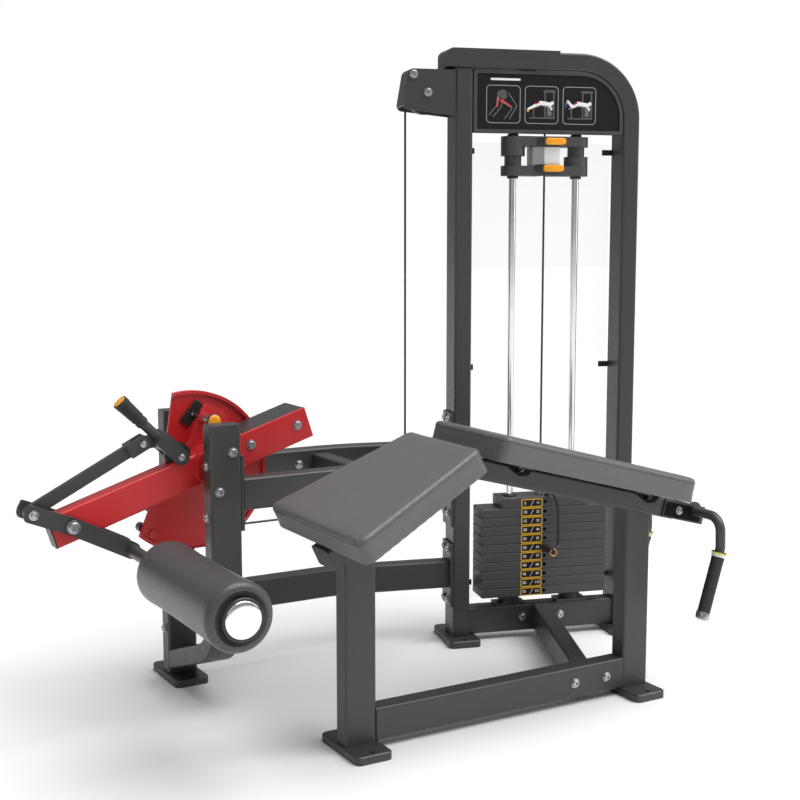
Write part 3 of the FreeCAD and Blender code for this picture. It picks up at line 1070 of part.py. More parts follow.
# ---------------------------------------------------------------- fasteners and lanyard
def build_fasteners():
    """Bolts on the fixed frame; their heads stand on the faces they clamp."""
    slim, broad = size("tube_slim"), size("tube_broad")
    line, x = size("bench_line"), size("stand_x")
    bench_front, post_front = line - slim / 2, size("front_post_y") - slim / 2
    lean = math.radians(size("bearing_lean"))
    spots = []
    for way in (-1, 1):
        spots.append((BENCH, Vector(x + 50.5 * way * math.cos(lean), post_front,
                                    size("pivot_z") + 50.5 * way * math.sin(lean)), -Y_AXIS))
        spots.append((BENCH, Vector(421 + 50 * way, bench_front, 60), -Y_AXIS))
    left, right = x - broad / 2, x + broad / 2 + size("flange_thick")
    for z_left, z_right in ((499, 487), (626, 622)):
        spots.append((BENCH, Vector(left, size("front_post_y"), z_left), -X_AXIS))
        spots.append((BENCH, Vector(right, size("front_post_y"), z_right), X_AXIS))
    spots.append((BENCH, Vector(left, size("rear_post_y"), 140), -X_AXIS))
    spots.append((BENCH, Vector(x + broad / 2, size("rear_post_y"), 134), X_AXIS))
    for z in (383, 657, 126, 278):
        for y in (26, 66):
            spots.append((TOWER, Vector(-size("flange_thick"), y, z), -X_AXIS))
    spots.append((TOWER, Vector(-80, 0, size("top_pulley_z")), -Y_AXIS))
    spots.append((TOWER, Vector(-121, 0, 1616), -Y_AXIS))
    front = size("front_post_y") - slim / 2
    spots.append((BENCH, Vector(-170, front, 546), -Y_AXIS))
    spots.append((BENCH, Vector(-60, size("rear_post_y") - slim / 2, 552), -Y_AXIS))
    base_front = size("stack_line") - slim / 2
    for dx in (-58, 58):
        spots.append((TOWER, Vector(size("tower_broad") / 2 + dx, base_front, 62), -Y_AXIS))
    heads = [tool(f"frame_bolt_{i}", bolt(6.5), frame_in(frame, *at, facing(way)))
             for i, (frame, at, way) in enumerate(spots)]
    group("frame_bolts", heads)


def build_lanyard():
    """Curly cord from the head plate to the selector pin's ring: one fat tube of its outer size."""
    route = [Vector(8, -36, 427.6), Vector(14, -56, 439), Vector(26, -68, 419), Vector(30, -72, 390),
             Vector(31, -74, 359), Vector(30, -76, 328), Vector(29, -84, 301), Vector(17, -104, 283.4)]
    radii = []
    for i in range(1, len(route) - 1):
        before, after = route[i] - route[i - 1], route[i + 1] - route[i]
        shorter = min(before.Length, after.Length)
        radii.append(0.45 * shorter / math.tan(before.getAngle(after) / 2))
    path = rounded_path(route, radii)
    cord = swept(path, Part.Wire([Part.Circle(Vector(), Z_AXIS, 4.5).toShape()]), Y_AXIS)
    print("lanyard length", round(path.Length, 1), "radii", [round(r) for r in radii],
          "volume ratio", round(cord.Volume / (math.pi * 4.5 ** 2 * path.Length), 4))
    shaped("lanyard", cord, frame_in(TOWER, size("tower_broad") / 2, size("stack_line"), 0))


# ---------------------------------------------------------------- build, check and export
def main():
    for build in (build_feet, build_bench, build_pads, build_handles, build_stand, build_tower,
                  build_weights, build_pulleys, build_cable, build_cam, build_arm, build_adjuster,
                  build_fasteners, build_lanyard):
        build()
    doc.recompute()
    failed = [obj.Label for obj in doc.Objects if "Invalid" in obj.State or "Error" in obj.State]
    for obj in NODES:
        if obj.Shape.isNull() or not obj.Shape.isValid() or not obj.Shape.Solids:
            failed.append(obj.Label)
    if failed:
        raise SystemExit(f"failed objects: {failed}")
    os.makedirs("parts", exist_ok=True)
    whole = FreeCAD.BoundBox()
    for obj in NODES:
        obj.Shape.exportStep(os.path.join("parts", obj.Label + ".step"))
        whole.add(obj.Shape.optimalBoundingBox(True))
    print(len(NODES), "nodes; box", whole)
    print("box centre", round(whole.Center.x, 3), round(whole.Center.y, 3), "floor", round(whole.ZMin, 4))


main()
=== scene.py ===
import json
from math import atan2, ceil, cos, degrees, radians, sin, tau

import bmesh
import bpy
from mathutils import Matrix, Vector


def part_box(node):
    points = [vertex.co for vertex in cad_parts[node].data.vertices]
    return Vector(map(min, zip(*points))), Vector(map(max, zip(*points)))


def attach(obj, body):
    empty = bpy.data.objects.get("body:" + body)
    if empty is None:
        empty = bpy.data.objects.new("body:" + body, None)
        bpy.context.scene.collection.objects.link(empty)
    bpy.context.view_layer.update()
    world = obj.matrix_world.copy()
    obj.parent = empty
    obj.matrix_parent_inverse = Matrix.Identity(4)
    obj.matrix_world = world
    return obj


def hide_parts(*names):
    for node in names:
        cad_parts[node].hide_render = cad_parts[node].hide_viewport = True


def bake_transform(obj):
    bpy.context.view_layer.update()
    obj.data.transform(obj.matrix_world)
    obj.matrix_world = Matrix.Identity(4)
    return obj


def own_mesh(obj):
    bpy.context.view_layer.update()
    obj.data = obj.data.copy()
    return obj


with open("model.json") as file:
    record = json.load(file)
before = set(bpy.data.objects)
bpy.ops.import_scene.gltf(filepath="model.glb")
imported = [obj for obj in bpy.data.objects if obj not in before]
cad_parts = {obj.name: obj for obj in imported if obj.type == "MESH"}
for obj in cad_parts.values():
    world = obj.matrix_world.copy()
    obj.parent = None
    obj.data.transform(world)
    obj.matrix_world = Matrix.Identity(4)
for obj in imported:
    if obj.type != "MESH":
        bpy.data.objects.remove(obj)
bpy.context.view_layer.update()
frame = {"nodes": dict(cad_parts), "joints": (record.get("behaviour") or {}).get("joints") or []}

JOINTS = {joint["name"]: joint for joint in frame["joints"]}
UP = Vector((0, 0, 1))
TO_NEAR_SIDE = Vector((0, -1, 0))
MM = 0.001


# ---------------------------------------------------------------- places
def joint_point(name):
    return Vector(JOINTS[name]["pos_m"])


def middle_of(node):
    low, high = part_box(node)
    return (low + high) / 2


def axes_at(origin, x_axis, y_axis, z_axis):
    turn = Matrix((x_axis, y_axis, z_axis)).transposed()
    return Matrix.Translation(origin) @ turn.to_4x4()


def along(origin, direction):
    """A place whose Z points along direction."""
    turn = Vector(direction).to_track_quat("Z", "Y")
    return Matrix.Translation(origin) @ turn.to_matrix().to_4x4()


# the weight tower is turned about Z: its depth runs against the selector pin's pull
TOWER_Y = -Vector(JOINTS["selector_pull"]["axis"]).normalized()
TOWER_X = TOWER_Y.cross(UP)
# the stack hangs from the right side of the centre pulley's groove
GROOVE_RADIUS = 0.055
STACK = joint_point("centre_pulley_spin") + GROOVE_RADIUS * TOWER_X
STACK.z = 0.0


def in_tower(x, y, z):
    """A point right of, behind and above the foot of the stack's centre line."""
    return STACK + x * TOWER_X + y * TOWER_Y + z * UP


def tower_front(x, depth, z):
    """A place on a face of the tower that looks forward: X right, Y up, Z out of the face."""
    return axes_at(in_tower(x, depth, z), TOWER_X, UP, -TOWER_Y)


def tower_upright(x, y, z):
    return axes_at(in_tower(x, y, z), TOWER_X, TOWER_Y, UP)


# ---------------------------------------------------------------- finishes
class Finish:
    """A Principled material built from texture nodes in the piece's own metres."""

    def __init__(self, name, colour, roughness, metallic=0.0):
        self.name = name
        self.material = bpy.data.materials.new(name)
        self.material.use_nodes = True
        self.tree = self.material.node_tree
        self.shader = self.tree.nodes["Principled BSDF"]
        self.colour = (*colour, 1.0)
        self.shader.inputs["Base Color"].default_value = self.colour
        self.shader.inputs["Roughness"].default_value = roughness
        self.shader.inputs["Metallic"].default_value = metallic
        self.roughness = roughness
        self.place = self.node("ShaderNodeTexCoord").outputs["Object"]
        self.normal = None

    def node(self, kind, **values):
        made = self.tree.nodes.new(kind)
        for name, value in values.items():
            made.inputs[name.replace("_", " ")].default_value = value
        return made

    def link(self, output, target):
        self.tree.links.new(output, target)

    def set(self, name, value):
        self.shader.inputs[name].default_value = value
        return self

    def noise(self, scale, detail=2.0, stretch=(1.0, 1.0, 1.0)):
        mapping = self.node("ShaderNodeMapping", Scale=stretch)
        self.link(self.place, mapping.inputs["Vector"])
        texture = self.node("ShaderNodeTexNoise", Scale=scale, Detail=detail)
        self.link(mapping.outputs["Vector"], texture.inputs["Vector"])
        return texture.outputs["Fac"]

    def cells(self, scale):
        texture = self.node("ShaderNodeTexVoronoi", Scale=scale)
        self.link(self.place, texture.inputs["Vector"])
        return texture.outputs["Distance"]

    def between(self, share, low, high):
        """Spreads the middle part of a noise over a range."""
        spread = self.node("ShaderNodeMapRange", From_Min=0.3, From_Max=0.7, To_Min=low, To_Max=high)
        self.link(share, spread.inputs["Value"])
        return spread.outputs["Result"]

    def mottle(self, share, dark, light):
        """Varies the colour between two brightnesses."""
        mix = self.node("ShaderNodeMix")
        mix.data_type = "RGBA"
        shades = [i for i in mix.inputs if i.type == "RGBA"]
        for shade, gain in zip(shades, (dark, light)):
            shade.default_value = (*(min(1.0, c * gain) for c in self.colour[:3]), 1.0)
        self.link(share, mix.inputs[0])
        output = next(o for o in mix.outputs if o.type == "RGBA")
        self.link(output, self.shader.inputs["Base Color"])
        return self

    def polish(self, share, spread):
        """Varies the roughness."""
        rough = self.between(share, self.roughness - spread, self.roughness + spread)
        self.link(rough, self.shader.inputs["Roughness"])
        return self

    def soften(self, radius):
        """Rounds sharp edges in the shading."""
        edge = self.node("ShaderNodeBevel", Radius=radius)
        edge.samples = 4
        self.normal = edge.outputs["Normal"]
        self.link(self.normal, self.shader.inputs["Normal"])
        return self

    def bump(self, height, distance, strength):
        bump = self.node("ShaderNodeBump", Distance=distance, Strength=strength)
        self.link(height, bump.inputs["Height"])
        if self.normal:
            self.link(self.normal, bump.inputs["Normal"])
        self.normal = bump.outputs["Normal"]
        self.link(self.normal, self.shader.inputs["Normal"])
        return self


def powder_coat(name, colour, roughness):
    """Sprayed and baked paint: fine orange peel, slight cloudiness and a clear top."""
    coat = Finish(name, colour, roughness)
    coat.soften(0.0014)
    coat.mottle(coat.noise(9.0, 4.0), 0.93, 1.07)
    coat.polish(coat.noise(60.0), 0.05)
    coat.bump(coat.noise(900.0, 3.0), 0.0002, 0.35)
    return coat.set("Specular IOR Level", 0.55)


def moulded(name, colour, roughness, grain=1400.0):
    """Injection-moulded plastic or rubber with a spark-eroded texture."""
    plastic = Finish(name, colour, roughness)
    plastic.soften(0.0008)
    plastic.mottle(plastic.noise(25.0, 3.0), 0.9, 1.1)
    plastic.polish(plastic.noise(120.0), 0.06)
    return plastic.bump(plastic.noise(grain, 2.0), 0.00015, 0.3)


def plated(name, colour, roughness, stretch=(1.0, 1.0, 1.0)):
    """Bare or plated metal with fine polishing marks along one way."""
    metal = Finish(name, colour, roughness, metallic=1.0)
    metal.soften(0.0006)
    metal.mottle(metal.noise(18.0, 3.0), 0.94, 1.04)
    metal.polish(metal.noise(220.0, 4.0, stretch), 0.04)
    return metal.bump(metal.noise(800.0, 2.0, stretch), 0.00004, 0.25)


def vinyl():
    """Upholstery vinyl: pebbled grain in small cells over a soft crease pattern."""
    skin = Finish("pad_vinyl", (0.108, 0.107, 0.107), 0.33)
    skin.mottle(skin.noise(14.0, 4.0), 0.94, 1.06)
    skin.polish(skin.noise(90.0, 3.0), 0.05)
    skin.bump(skin.noise(70.0, 3.0), 0.0006, 0.25)
    skin.bump(skin.cells(900.0), 0.00035, 0.5)
    skin.set("Sheen Weight", 0.05)
    return skin.set("Specular IOR Level", 0.5)


def foam_skin():
    """Closed-cell foam with a rubbed skin and small pores."""
    foam = Finish("foam", (0.054, 0.054, 0.055), 0.32)
    foam.mottle(foam.noise(22.0, 4.0), 0.92, 1.08)
    foam.polish(foam.noise(130.0, 3.0), 0.06)
    foam.bump(foam.noise(55.0, 2.0), 0.0006, 0.2)
    foam.bump(foam.cells(1300.0), 0.0003, 0.4)
    return foam.set("Sheen Weight", 0.04)


def dust_cover():
    """Black woven cloth stapled under the pads' boards."""
    cloth = Finish("board_wood", (0.020, 0.020, 0.021), 0.85)
    cloth.mottle(cloth.noise(30.0, 3.0), 0.85, 1.15)
    cloth.bump(cloth.noise(900.0, 2.0, (1.0, 0.2, 1.0)), 0.0002, 0.5)
    return cloth.bump(cloth.noise(900.0, 2.0, (0.2, 1.0, 1.0)), 0.0002, 0.5)


def clear_sheet():
    """Thin clear plastic of the tower's shield, hardly seen."""
    sheet = Finish("clear_sheet", (0.93, 0.95, 0.95), 0.08)
    sheet.polish(sheet.noise(40.0), 0.04)
    sheet.bump(sheet.noise(6.0), 0.0006, 0.1)
    sheet.set("IOR", 1.03)
    sheet.set("Specular IOR Level", 0.2)
    return sheet.set("Alpha", 0.05)


def printed(name, colour):
    """Flat printed ink on the sign."""
    ink = Finish(name, colour, 0.5)
    ink.mottle(ink.noise(300.0, 2.0), 0.94, 1.05)
    return ink


def build_finishes():
    """The materials by name; the first sixteen are those of the record's slots."""
    black = (0.016, 0.016, 0.017)
    made = [
        powder_coat("frame_paint", (0.037, 0.037, 0.038), 0.40),
        powder_coat("red_paint", (0.52, 0.016, 0.018), 0.36),
        powder_coat("stack_paint", (0.046, 0.046, 0.048), 0.5),
        powder_coat("handle_steel", (0.040, 0.040, 0.042), 0.4),
        moulded("sign_face", (0.005, 0.005, 0.006), 0.6).set("Specular IOR Level", 0.25),
        moulded("black_plastic", black, 0.38),
        moulded("black_rubber", (0.018, 0.018, 0.018), 0.6, 900.0),
        moulded("cable_jacket", black, 0.3),
        moulded("cord_black", (0.020, 0.019, 0.019), 0.35),
        moulded("yellow_plastic", (0.90, 0.36, 0.012), 0.32),
        plated("chrome_steel", (0.90, 0.90, 0.91), 0.16, (1.0, 1.0, 0.05)),
        plated("bright_steel", (0.46, 0.46, 0.47), 0.28),
        vinyl(),
        foam_skin(),
        dust_cover(),
        clear_sheet(),
        printed("ink_white", (0.86, 0.86, 0.86)),
        printed("ink_grey", (0.20, 0.20, 0.21)),
        printed("ink_dark", (0.075, 0.075, 0.08)),
        printed("ink_line", (0.36, 0.36, 0.36)),
        printed("ink_blue", (0.02, 0.10, 0.42)),
        printed("ink_red", (0.62, 0.03, 0.03)),
        printed("ink_yellow", (0.72, 0.40, 0.008)),
        moulded("lemon_plastic", (0.86, 0.78, 0.02), 0.35),
        plated("pin_wire", (0.72, 0.40, 0.13), 0.3),
        # shadow_paint is near-black painted shade, for parts that stand in shade under the chest pad and at
        # the beam's end
        powder_coat("shadow_paint", (0.003, 0.003, 0.003), 0.6).set("Specular IOR Level", 0.12),
        moulded("sign_rim", (0.048, 0.048, 0.050), 0.45),
        moulded("pale_block", (0.74, 0.75, 0.75), 0.3),
        plated("steel_block", (0.46, 0.46, 0.47), 0.32),
        printed("thread", (0.055, 0.055, 0.055)),
    ]
    return {finish.name: finish.material for finish in made}


FINISHES = build_finishes()


def finish_cad_nodes():
    """Every CAD node shows the finish of the material slot that the record gives it."""
    for obj in frame["nodes"].values():
        for index, old in enumerate(obj.data.materials):
            slot = old.name.split(".")[0] if old else ""
            if slot in FINISHES:
                obj.material_slots[index].material = FINISHES[slot]
        obj.data.shade_smooth()
        obj.data.set_sharp_from_angle(angle=radians(28))


# ---------------------------------------------------------------- making pieces
def piece(name, mesh, place, body, slot, finishes=()):
    """A new piece in its place, riding on a body."""
    for finish in finishes or (slot,):
        mesh.materials.append(FINISHES[finish])
    obj = bpy.data.objects.new(name, mesh)
    bpy.context.scene.collection.objects.link(obj)
    obj.matrix_world = place
    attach(obj, body)
    return obj


def to_mesh(shape, name, sharp=32):
    """Turns shape into a mesh whose edges above sharp degrees stay crisp."""
    bmesh.ops.remove_doubles(shape, verts=shape.verts, dist=1e-6)
    bmesh.ops.recalc_face_normals(shape, faces=shape.faces)
    mesh = bpy.data.meshes.new(name)
    shape.to_mesh(mesh)
    shape.free()
    mesh.shade_smooth()
    mesh.set_sharp_from_angle(angle=radians(sharp))
    return mesh


def lathe(name, profile, steps=64):
    """A turned piece: a profile of (radius, height) points about Z."""
    shape = bmesh.new()
    rings = []
    for step in range(steps):
        angle = tau * step / steps
        rings.append([shape.verts.new((r * cos(angle), r * sin(angle), h)) for r, h in profile])
    for ring, after in zip(rings, rings[1:] + rings[:1]):
        for k in range(len(profile) - 1):
            shape.faces.new((ring[k], after[k], after[k + 1], ring[k + 1]))
    return to_mesh(shape, name)


def hollow(name, profile, steps=64):
    """A turned ring or sleeve, whose profile closes on itself."""
    return lathe(name, profile + profile[:1], steps)


def arc(centre, radius, start, stop, steps=6):
    """Points on an arc, angles in degrees."""
    angles = [radians(start + (stop - start) * i / steps) for i in range(steps + 1)]
    return [(centre[0] + radius * cos(a), centre[1] + radius * sin(a)) for a in angles]


def rounded(left, right, low, high, radii, steps=8):
    """Rectangle outline with its own radius at the low right, high right, high left and low left."""
    corners = [(right, low, -1, 1, -90), (right, high, -1, -1, 0),
               (left, high, 1, -1, 90), (left, low, 1, 1, 180)]
    points = []
    for (x, y, way_x, way_y, start), radius in zip(corners, radii):
        points += arc((x + way_x * radius, y + way_y * radius), radius, start, start + 90, steps)
    return points


def oblong(wide, tall, steps=8):
    """Outline of a bar with round ends, centred."""
    r = min(wide, tall) / 2 - 1e-5
    return rounded(-wide / 2, wide / 2, -tall / 2, tall / 2, (r, r, r, r), steps)


def extrude(shape, outline, base, depth, edge=0.0, material=0):
    """Adds to shape a slab over a closed outline, from height base up by depth, its upper rim rounded."""
    floor = shape.faces.new([shape.verts.new((x, y, base)) for x, y in outline])
    grown = bmesh.ops.extrude_face_region(shape, geom=[floor])
    top = [g for g in grown["geom"] if isinstance(g, bmesh.types.BMVert)]
    bmesh.ops.translate(shape, verts=top, vec=(0, 0, depth))
    lid = [g for g in grown["geom"] if isinstance(g, bmesh.types.BMFace)]
    for face in [floor] + lid + [f for v in top for f in v.link_faces]:
        face.material_index = material
    if edge:
        rim = list({e for f in lid for e in f.edges})
        made = bmesh.ops.bevel(shape, geom=rim, offset=edge, segments=3, profile=0.5, affect="EDGES")
        for face in made["faces"]:
            face.material_index = material


def ring_slab(shape, outer, inner, base, depth, material=0):
    """Adds a flat ring between two outlines of as many points each."""
    loops = [[shape.verts.new((x, y, z)) for x, y in outline]
             for z in (base, base + depth) for outline in (outer, inner)]
    low_out, low_in, high_out, high_in = loops
    count = len(outer)
    for i in range(count):
        j = (i + 1) % count
        for a, b in ((low_out, high_out), (high_out, high_in), (high_in, low_in), (low_in, low_out)):
            shape.faces.new((a[i], a[j], b[j], b[i])).material_index = material


def slab(name, outline, depth, edge=0.0):
    """A plate over an outline, from the place's plane out along its Z."""
    shape = bmesh.new()
    extrude(shape, outline, 0.0, depth, edge)
    return to_mesh(shape, name)


def tube(name, points, radius, sides, closed=False):
    """A round tube through points, its rings carried along without twist."""
    shape = bmesh.new()
    count = len(points)
    if closed:
        spans = [(points[i - 1], points[(i + 1) % count]) for i in range(count)]
    else:
        spans = [(points[max(i - 1, 0)], points[min(i + 1, count - 1)]) for i in range(count)]
    tangents = [(after - before).normalized() for before, after in spans]
    turns = [(cos(tau * k / sides), sin(tau * k / sides)) for k in range(sides)]
    side = tangents[0].orthogonal().normalized()
    rings = []
    for point, tangent in zip(points, tangents):
        side = (side - side.dot(tangent) * tangent).normalized()
        other = tangent.cross(side)
        rings.append([shape.verts.new(point + radius * (c * side + s * other)) for c, s in turns])
    following = rings[1:] + rings[:1] if closed else rings[1:]
    for ring, after in zip(rings, following):
        for k in range(sides):
            m = (k + 1) % sides
            shape.faces.new((ring[k], ring[m], after[m], after[k]))
    if not closed:
        shape.faces.new(rings[0])
        shape.faces.new(rings[-1])
    return to_mesh(shape, name, 60)


# ---------------------------------------------------------------- pads
PAD_THICK = 0.062
PAD_PROUD = 0.006
PADS = {
    "thigh_pad": dict(slope=radians(24.9), long=0.381, low_broad=0.450, high_broad=0.326),
    "chest_pad": dict(slope=radians(-15.0), long=0.600, low_broad=0.326, high_broad=0.326),
}


def pad_place(node, slope, long):
    """The pad's top edge line at its left end: X up or down the slope, Z out of the top."""
    low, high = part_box(node)
    c, s = cos(slope), sin(slope)
    if slope > 0:
        origin = Vector((high.x - long * c - PAD_THICK * s, 0, low.z + PAD_THICK * c))
    else:
        origin = Vector((low.x - PAD_THICK * s, 0, low.z - long * s + PAD_THICK * c))
    origin.y = (low.y + high.y) / 2
    return axes_at(origin, Vector((c, 0, s)), Vector((0, 1, 0)), Vector((-s, 0, c)))


def pad_outline(long, low_broad, high_broad, inset, corner, steps=10):
    """Trapezoid with rounded corners, in from the sides by inset, its ends PAD_PROUD past the CAD pad's."""
    start, stop = inset - PAD_PROUD, long - inset + PAD_PROUD
    spread = high_broad - low_broad
    low_half, high_half = ((low_broad + spread * x / long) / 2 - inset for x in (start, stop))
    lean = degrees(atan2((low_broad - high_broad) / 2, long))
    corners = [(start, -low_half, 180, 270 + lean), (stop, -high_half, 270 + lean, 360),
               (stop, high_half, 0, 90 - lean), (start, low_half, 90 - lean, 180)]
    points = []
    for x, y, first, last in corners:
        way_x = corner if x == start else -corner
        way_y = corner if y < 0 else -corner
        points += arc((x + way_x, y + way_y), corner, first, last, steps)
    return points


def simulate(obj, voxel, cap, floor_z):
    """Blows a closed form up as cloth, by cap at most, holding its underside flat."""
    pressure, frames, hold_height = 4.0, 20, 0.02
    scene = bpy.context.scene
    for other in bpy.context.selected_objects:
        other.select_set(False)
    bpy.context.view_layer.objects.active = obj
    obj.select_set(True)
    remesh = obj.modifiers.new("remesh", "REMESH")
    remesh.mode = "VOXEL"
    remesh.voxel_size = voxel
    bpy.ops.object.modifier_apply(modifier=remesh.name)
    rest = [v.co.copy() for v in obj.data.vertices]
    cloth = obj.modifiers.new("cloth", "CLOTH")
    cloth.settings.use_pressure = True
    cloth.settings.uniform_pressure_force = pressure
    cloth.settings.quality = 5
    cloth.settings.effector_weights.gravity = 0.0
    for count in range(1, frames + 1):
        scene.frame_set(count)
    blown = obj.evaluated_get(bpy.context.evaluated_depsgraph_get())
    moved = [v.co.copy() for v in blown.data.vertices]
    obj.modifiers.remove(cloth)
    scene.frame_set(1)
    for vertex, old, new in zip(obj.data.vertices, rest, moved):
        step = new - old
        if step.length > cap:
            step *= cap / step.length
        hold = min(1.0, max(0.0, (old.z - floor_z) / hold_height))
        vertex.co = old + step * hold


def build_pad(node, shape):
    """A vinyl cover with a rounded top edge, blown up as cloth, and the thread of the seam round it."""
    swell, corner, round_edge = 0.0018, 0.022, 0.0085
    voxel, most_swell = 0.005, 0.0024
    place = pad_place(node, shape["slope"], shape["long"])
    bm = bmesh.new()
    dims = (shape["long"], shape["low_broad"], shape["high_broad"])
    extrude(bm, pad_outline(*dims, swell, corner), -PAD_THICK, PAD_THICK - swell)
    rim = [e for e in bm.edges if all(v.co.z > -2 * swell for v in e.verts) and len(e.link_faces) == 2]
    bmesh.ops.bevel(bm, geom=rim, offset=round_edge, segments=6, profile=0.5, affect="EDGES")
    mesh = to_mesh(bm, node + "_cover", 80)
    obj = piece(node + "_cover", mesh, place, "root", "pad_vinyl")
    simulate(obj, voxel, most_swell, -PAD_THICK)
    obj.data.shade_smooth()
    smooth = obj.modifiers.new("smooth", "SUBSURF")
    smooth.levels = smooth.render_levels = 1
    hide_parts(node)

    # the seam's thread lies on the cover, just under the rounded edge
    seam_z, stitch, thread_radius = -0.0125, 0.015, 0.0008
    cover = obj.evaluated_get(bpy.context.evaluated_depsgraph_get())
    corners = [Vector((x, y, seam_z)) for x, y in pad_outline(*dims, 0.0, corner)]
    path = []
    for start, stop in zip(corners, corners[1:] + corners[:1]):
        count = max(1, ceil((stop - start).length / stitch))
        path += [cover.closest_point_on_mesh(start.lerp(stop, i / count))[1] for i in range(count)]
    thread = tube(node + "_seam", path, thread_radius, 8, closed=True)
    piece(node + "_seam", thread, place, "root", "pad_vinyl", ("thread",))


# ---------------------------------------------------------------- roller
def build_roller():
    """Foam sleeve with a narrower waist and dished end faces, and the cap on its free end."""
    low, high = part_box("foam_roller")
    axis = joint_point("roller_spin")
    long, radius = high.y - low.y, (high.z - low.z) / 2
    place = along(Vector((axis.x, low.y, axis.z)), (0, 1, 0))
    waist, lip, hub, dish, bore = radius - 0.0022, 0.017, 0.0435, 0.006, 0.0245
    profile = [(hub, dish + 0.004), (hub + 0.003, dish)]
    profile += [(radius - lip - 0.008, dish - 0.001)]
    profile += arc((radius - lip, lip), lip, 268, 360, 12)
    profile += [(radius - 0.0006, 0.045), (waist, 0.11),
                (waist, long - 0.11), (radius - 0.0006, long - 0.045)]
    profile += arc((radius - lip, long - lip), lip, 0, 92, 12)
    profile += [(radius - lip - 0.008, long - dish + 0.001), (hub + 0.003, long - dish),
                (hub, long - dish - 0.004)]
    profile += [(bore, long - dish - 0.004), (bore, dish + 0.004), (hub, dish + 0.004)]
    foam = piece("roller_foam", lathe("roller_foam", profile, 96), place, "roller", "foam")
    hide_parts("foam_roller")

    # domed cap on the free end, and the black ring round it
    cap_low, cap_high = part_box("roller_end_cap")
    rim = (cap_high.x - cap_low.x) / 2
    thick = cap_high.y - cap_low.y
    face = along(Vector((axis.x, cap_high.y, axis.z)), TO_NEAR_SIDE)
    dome = [(0.0, 0.0), (rim - 0.001, 0.0), (rim, 0.001), (rim, 0.0035)]
    dome += arc((rim - 0.0035, 0.0035), 0.0035, 0, 70, 5)
    crown = [(rim * share, thick - 0.0028 * share ** 2) for share in (0.86, 0.7, 0.5, 0.25, 0.0)]
    cap = piece("roller_cap", lathe("roller_cap", dome + crown, 96), face, "lever", "chrome_steel")
    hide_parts("roller_end_cap")
    ring = [(rim + 0.0003, 0.0), (rim + 0.0062, 0.0), (rim + 0.0062, 0.003), (rim + 0.004, 0.0048),
            (rim + 0.0003, 0.0048)]
    piece("roller_cap_ring", hollow("roller_cap_ring", ring, 96), face, "lever", "black_plastic")


# ---------------------------------------------------------------- grips and knobs
def ribbed(radius, long, ribs, groove, bore):
    """Profile of a grip: even ribs between a square end and a rounded one."""
    points = [(bore, 0.0), (radius, 0.0), (radius, 0.004), (radius + 0.0004, 0.009)]
    start, stop = 0.012, long - 0.010
    step = (stop - start) / ribs
    for rib in range(ribs):
        z = start + rib * step
        points += [(radius, z), (radius, z + step * 0.55),
                   (radius - groove, z + step * 0.7), (radius - groove, z + step * 0.85)]
    points += [(radius, stop)] + arc((radius - 0.003, long - 0.003), 0.003, 0, 90, 4)
    return points + [(bore, long)]


def build_bench_grips():
    """Rubber sleeves on the bench's two hand bars, each between a yellow ring and a metal cap."""
    lean, radius, bore = radians(17.6), 0.017, 0.0126
    down = Vector((-sin(lean), 0, -cos(lean)))
    low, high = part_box("bench_grips")
    long = ((high.z - low.z) - 2 * radius * sin(lean)) / cos(lean)
    centre = (low + high) / 2
    half_gap = (high.y - low.y) / 2 - radius
    sleeve = ribbed(radius - 0.0005, long, 34, 0.0006, bore)
    ring = [(bore, -0.0074), (radius + 0.0034, -0.0074), (radius + 0.0036, -0.0062),
            (radius + 0.0026, -0.0044), (bore, -0.0044)]
    band = [(bore, -0.0043), (radius + 0.0016, -0.0043), (radius + 0.0012, 0.0028),
            (radius + 0.0002, 0.0034), (bore, 0.0034)]
    flange = [(bore, -0.0112), (0.0165, -0.0112), (0.019, -0.0092), (0.019, -0.0074), (bore, -0.0074)]
    cap = [(0.0, long + 0.0115), (0.0130, long + 0.0115), (0.0176, long + 0.0082), (0.0184, long - 0.0072),
           (0.0178, long - 0.0085), (0.0168, long - 0.0088), (0.0, long - 0.0088)]
    for side, way in (("near", -1), ("far", 1)):
        middle = Vector((centre.x, centre.y + way * half_gap, centre.z))
        place = along(middle - down * long / 2, down)
        grip = piece(f"bench_grip_{side}", lathe("bench_grip", sleeve, 64), place, "root", "black_rubber")
        yellow = piece(f"bench_grip_ring_{side}", hollow("bench_grip_ring", ring), place,
                       "root", "yellow_plastic", ("lemon_plastic",))
        piece(f"bench_grip_band_{side}", hollow("bench_grip_band", band), place,
              "root", "yellow_plastic", ("pale_block",))
        piece(f"bench_grip_flange_{side}", hollow("bench_grip_flange", flange), place,
              "root", "black_plastic")
        piece(f"bench_grip_cap_{side}", lathe("bench_grip_cap", cap), place, "root", "bright_steel")
        if side == "near":
            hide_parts("bench_grips")
            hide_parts("grip_rings")


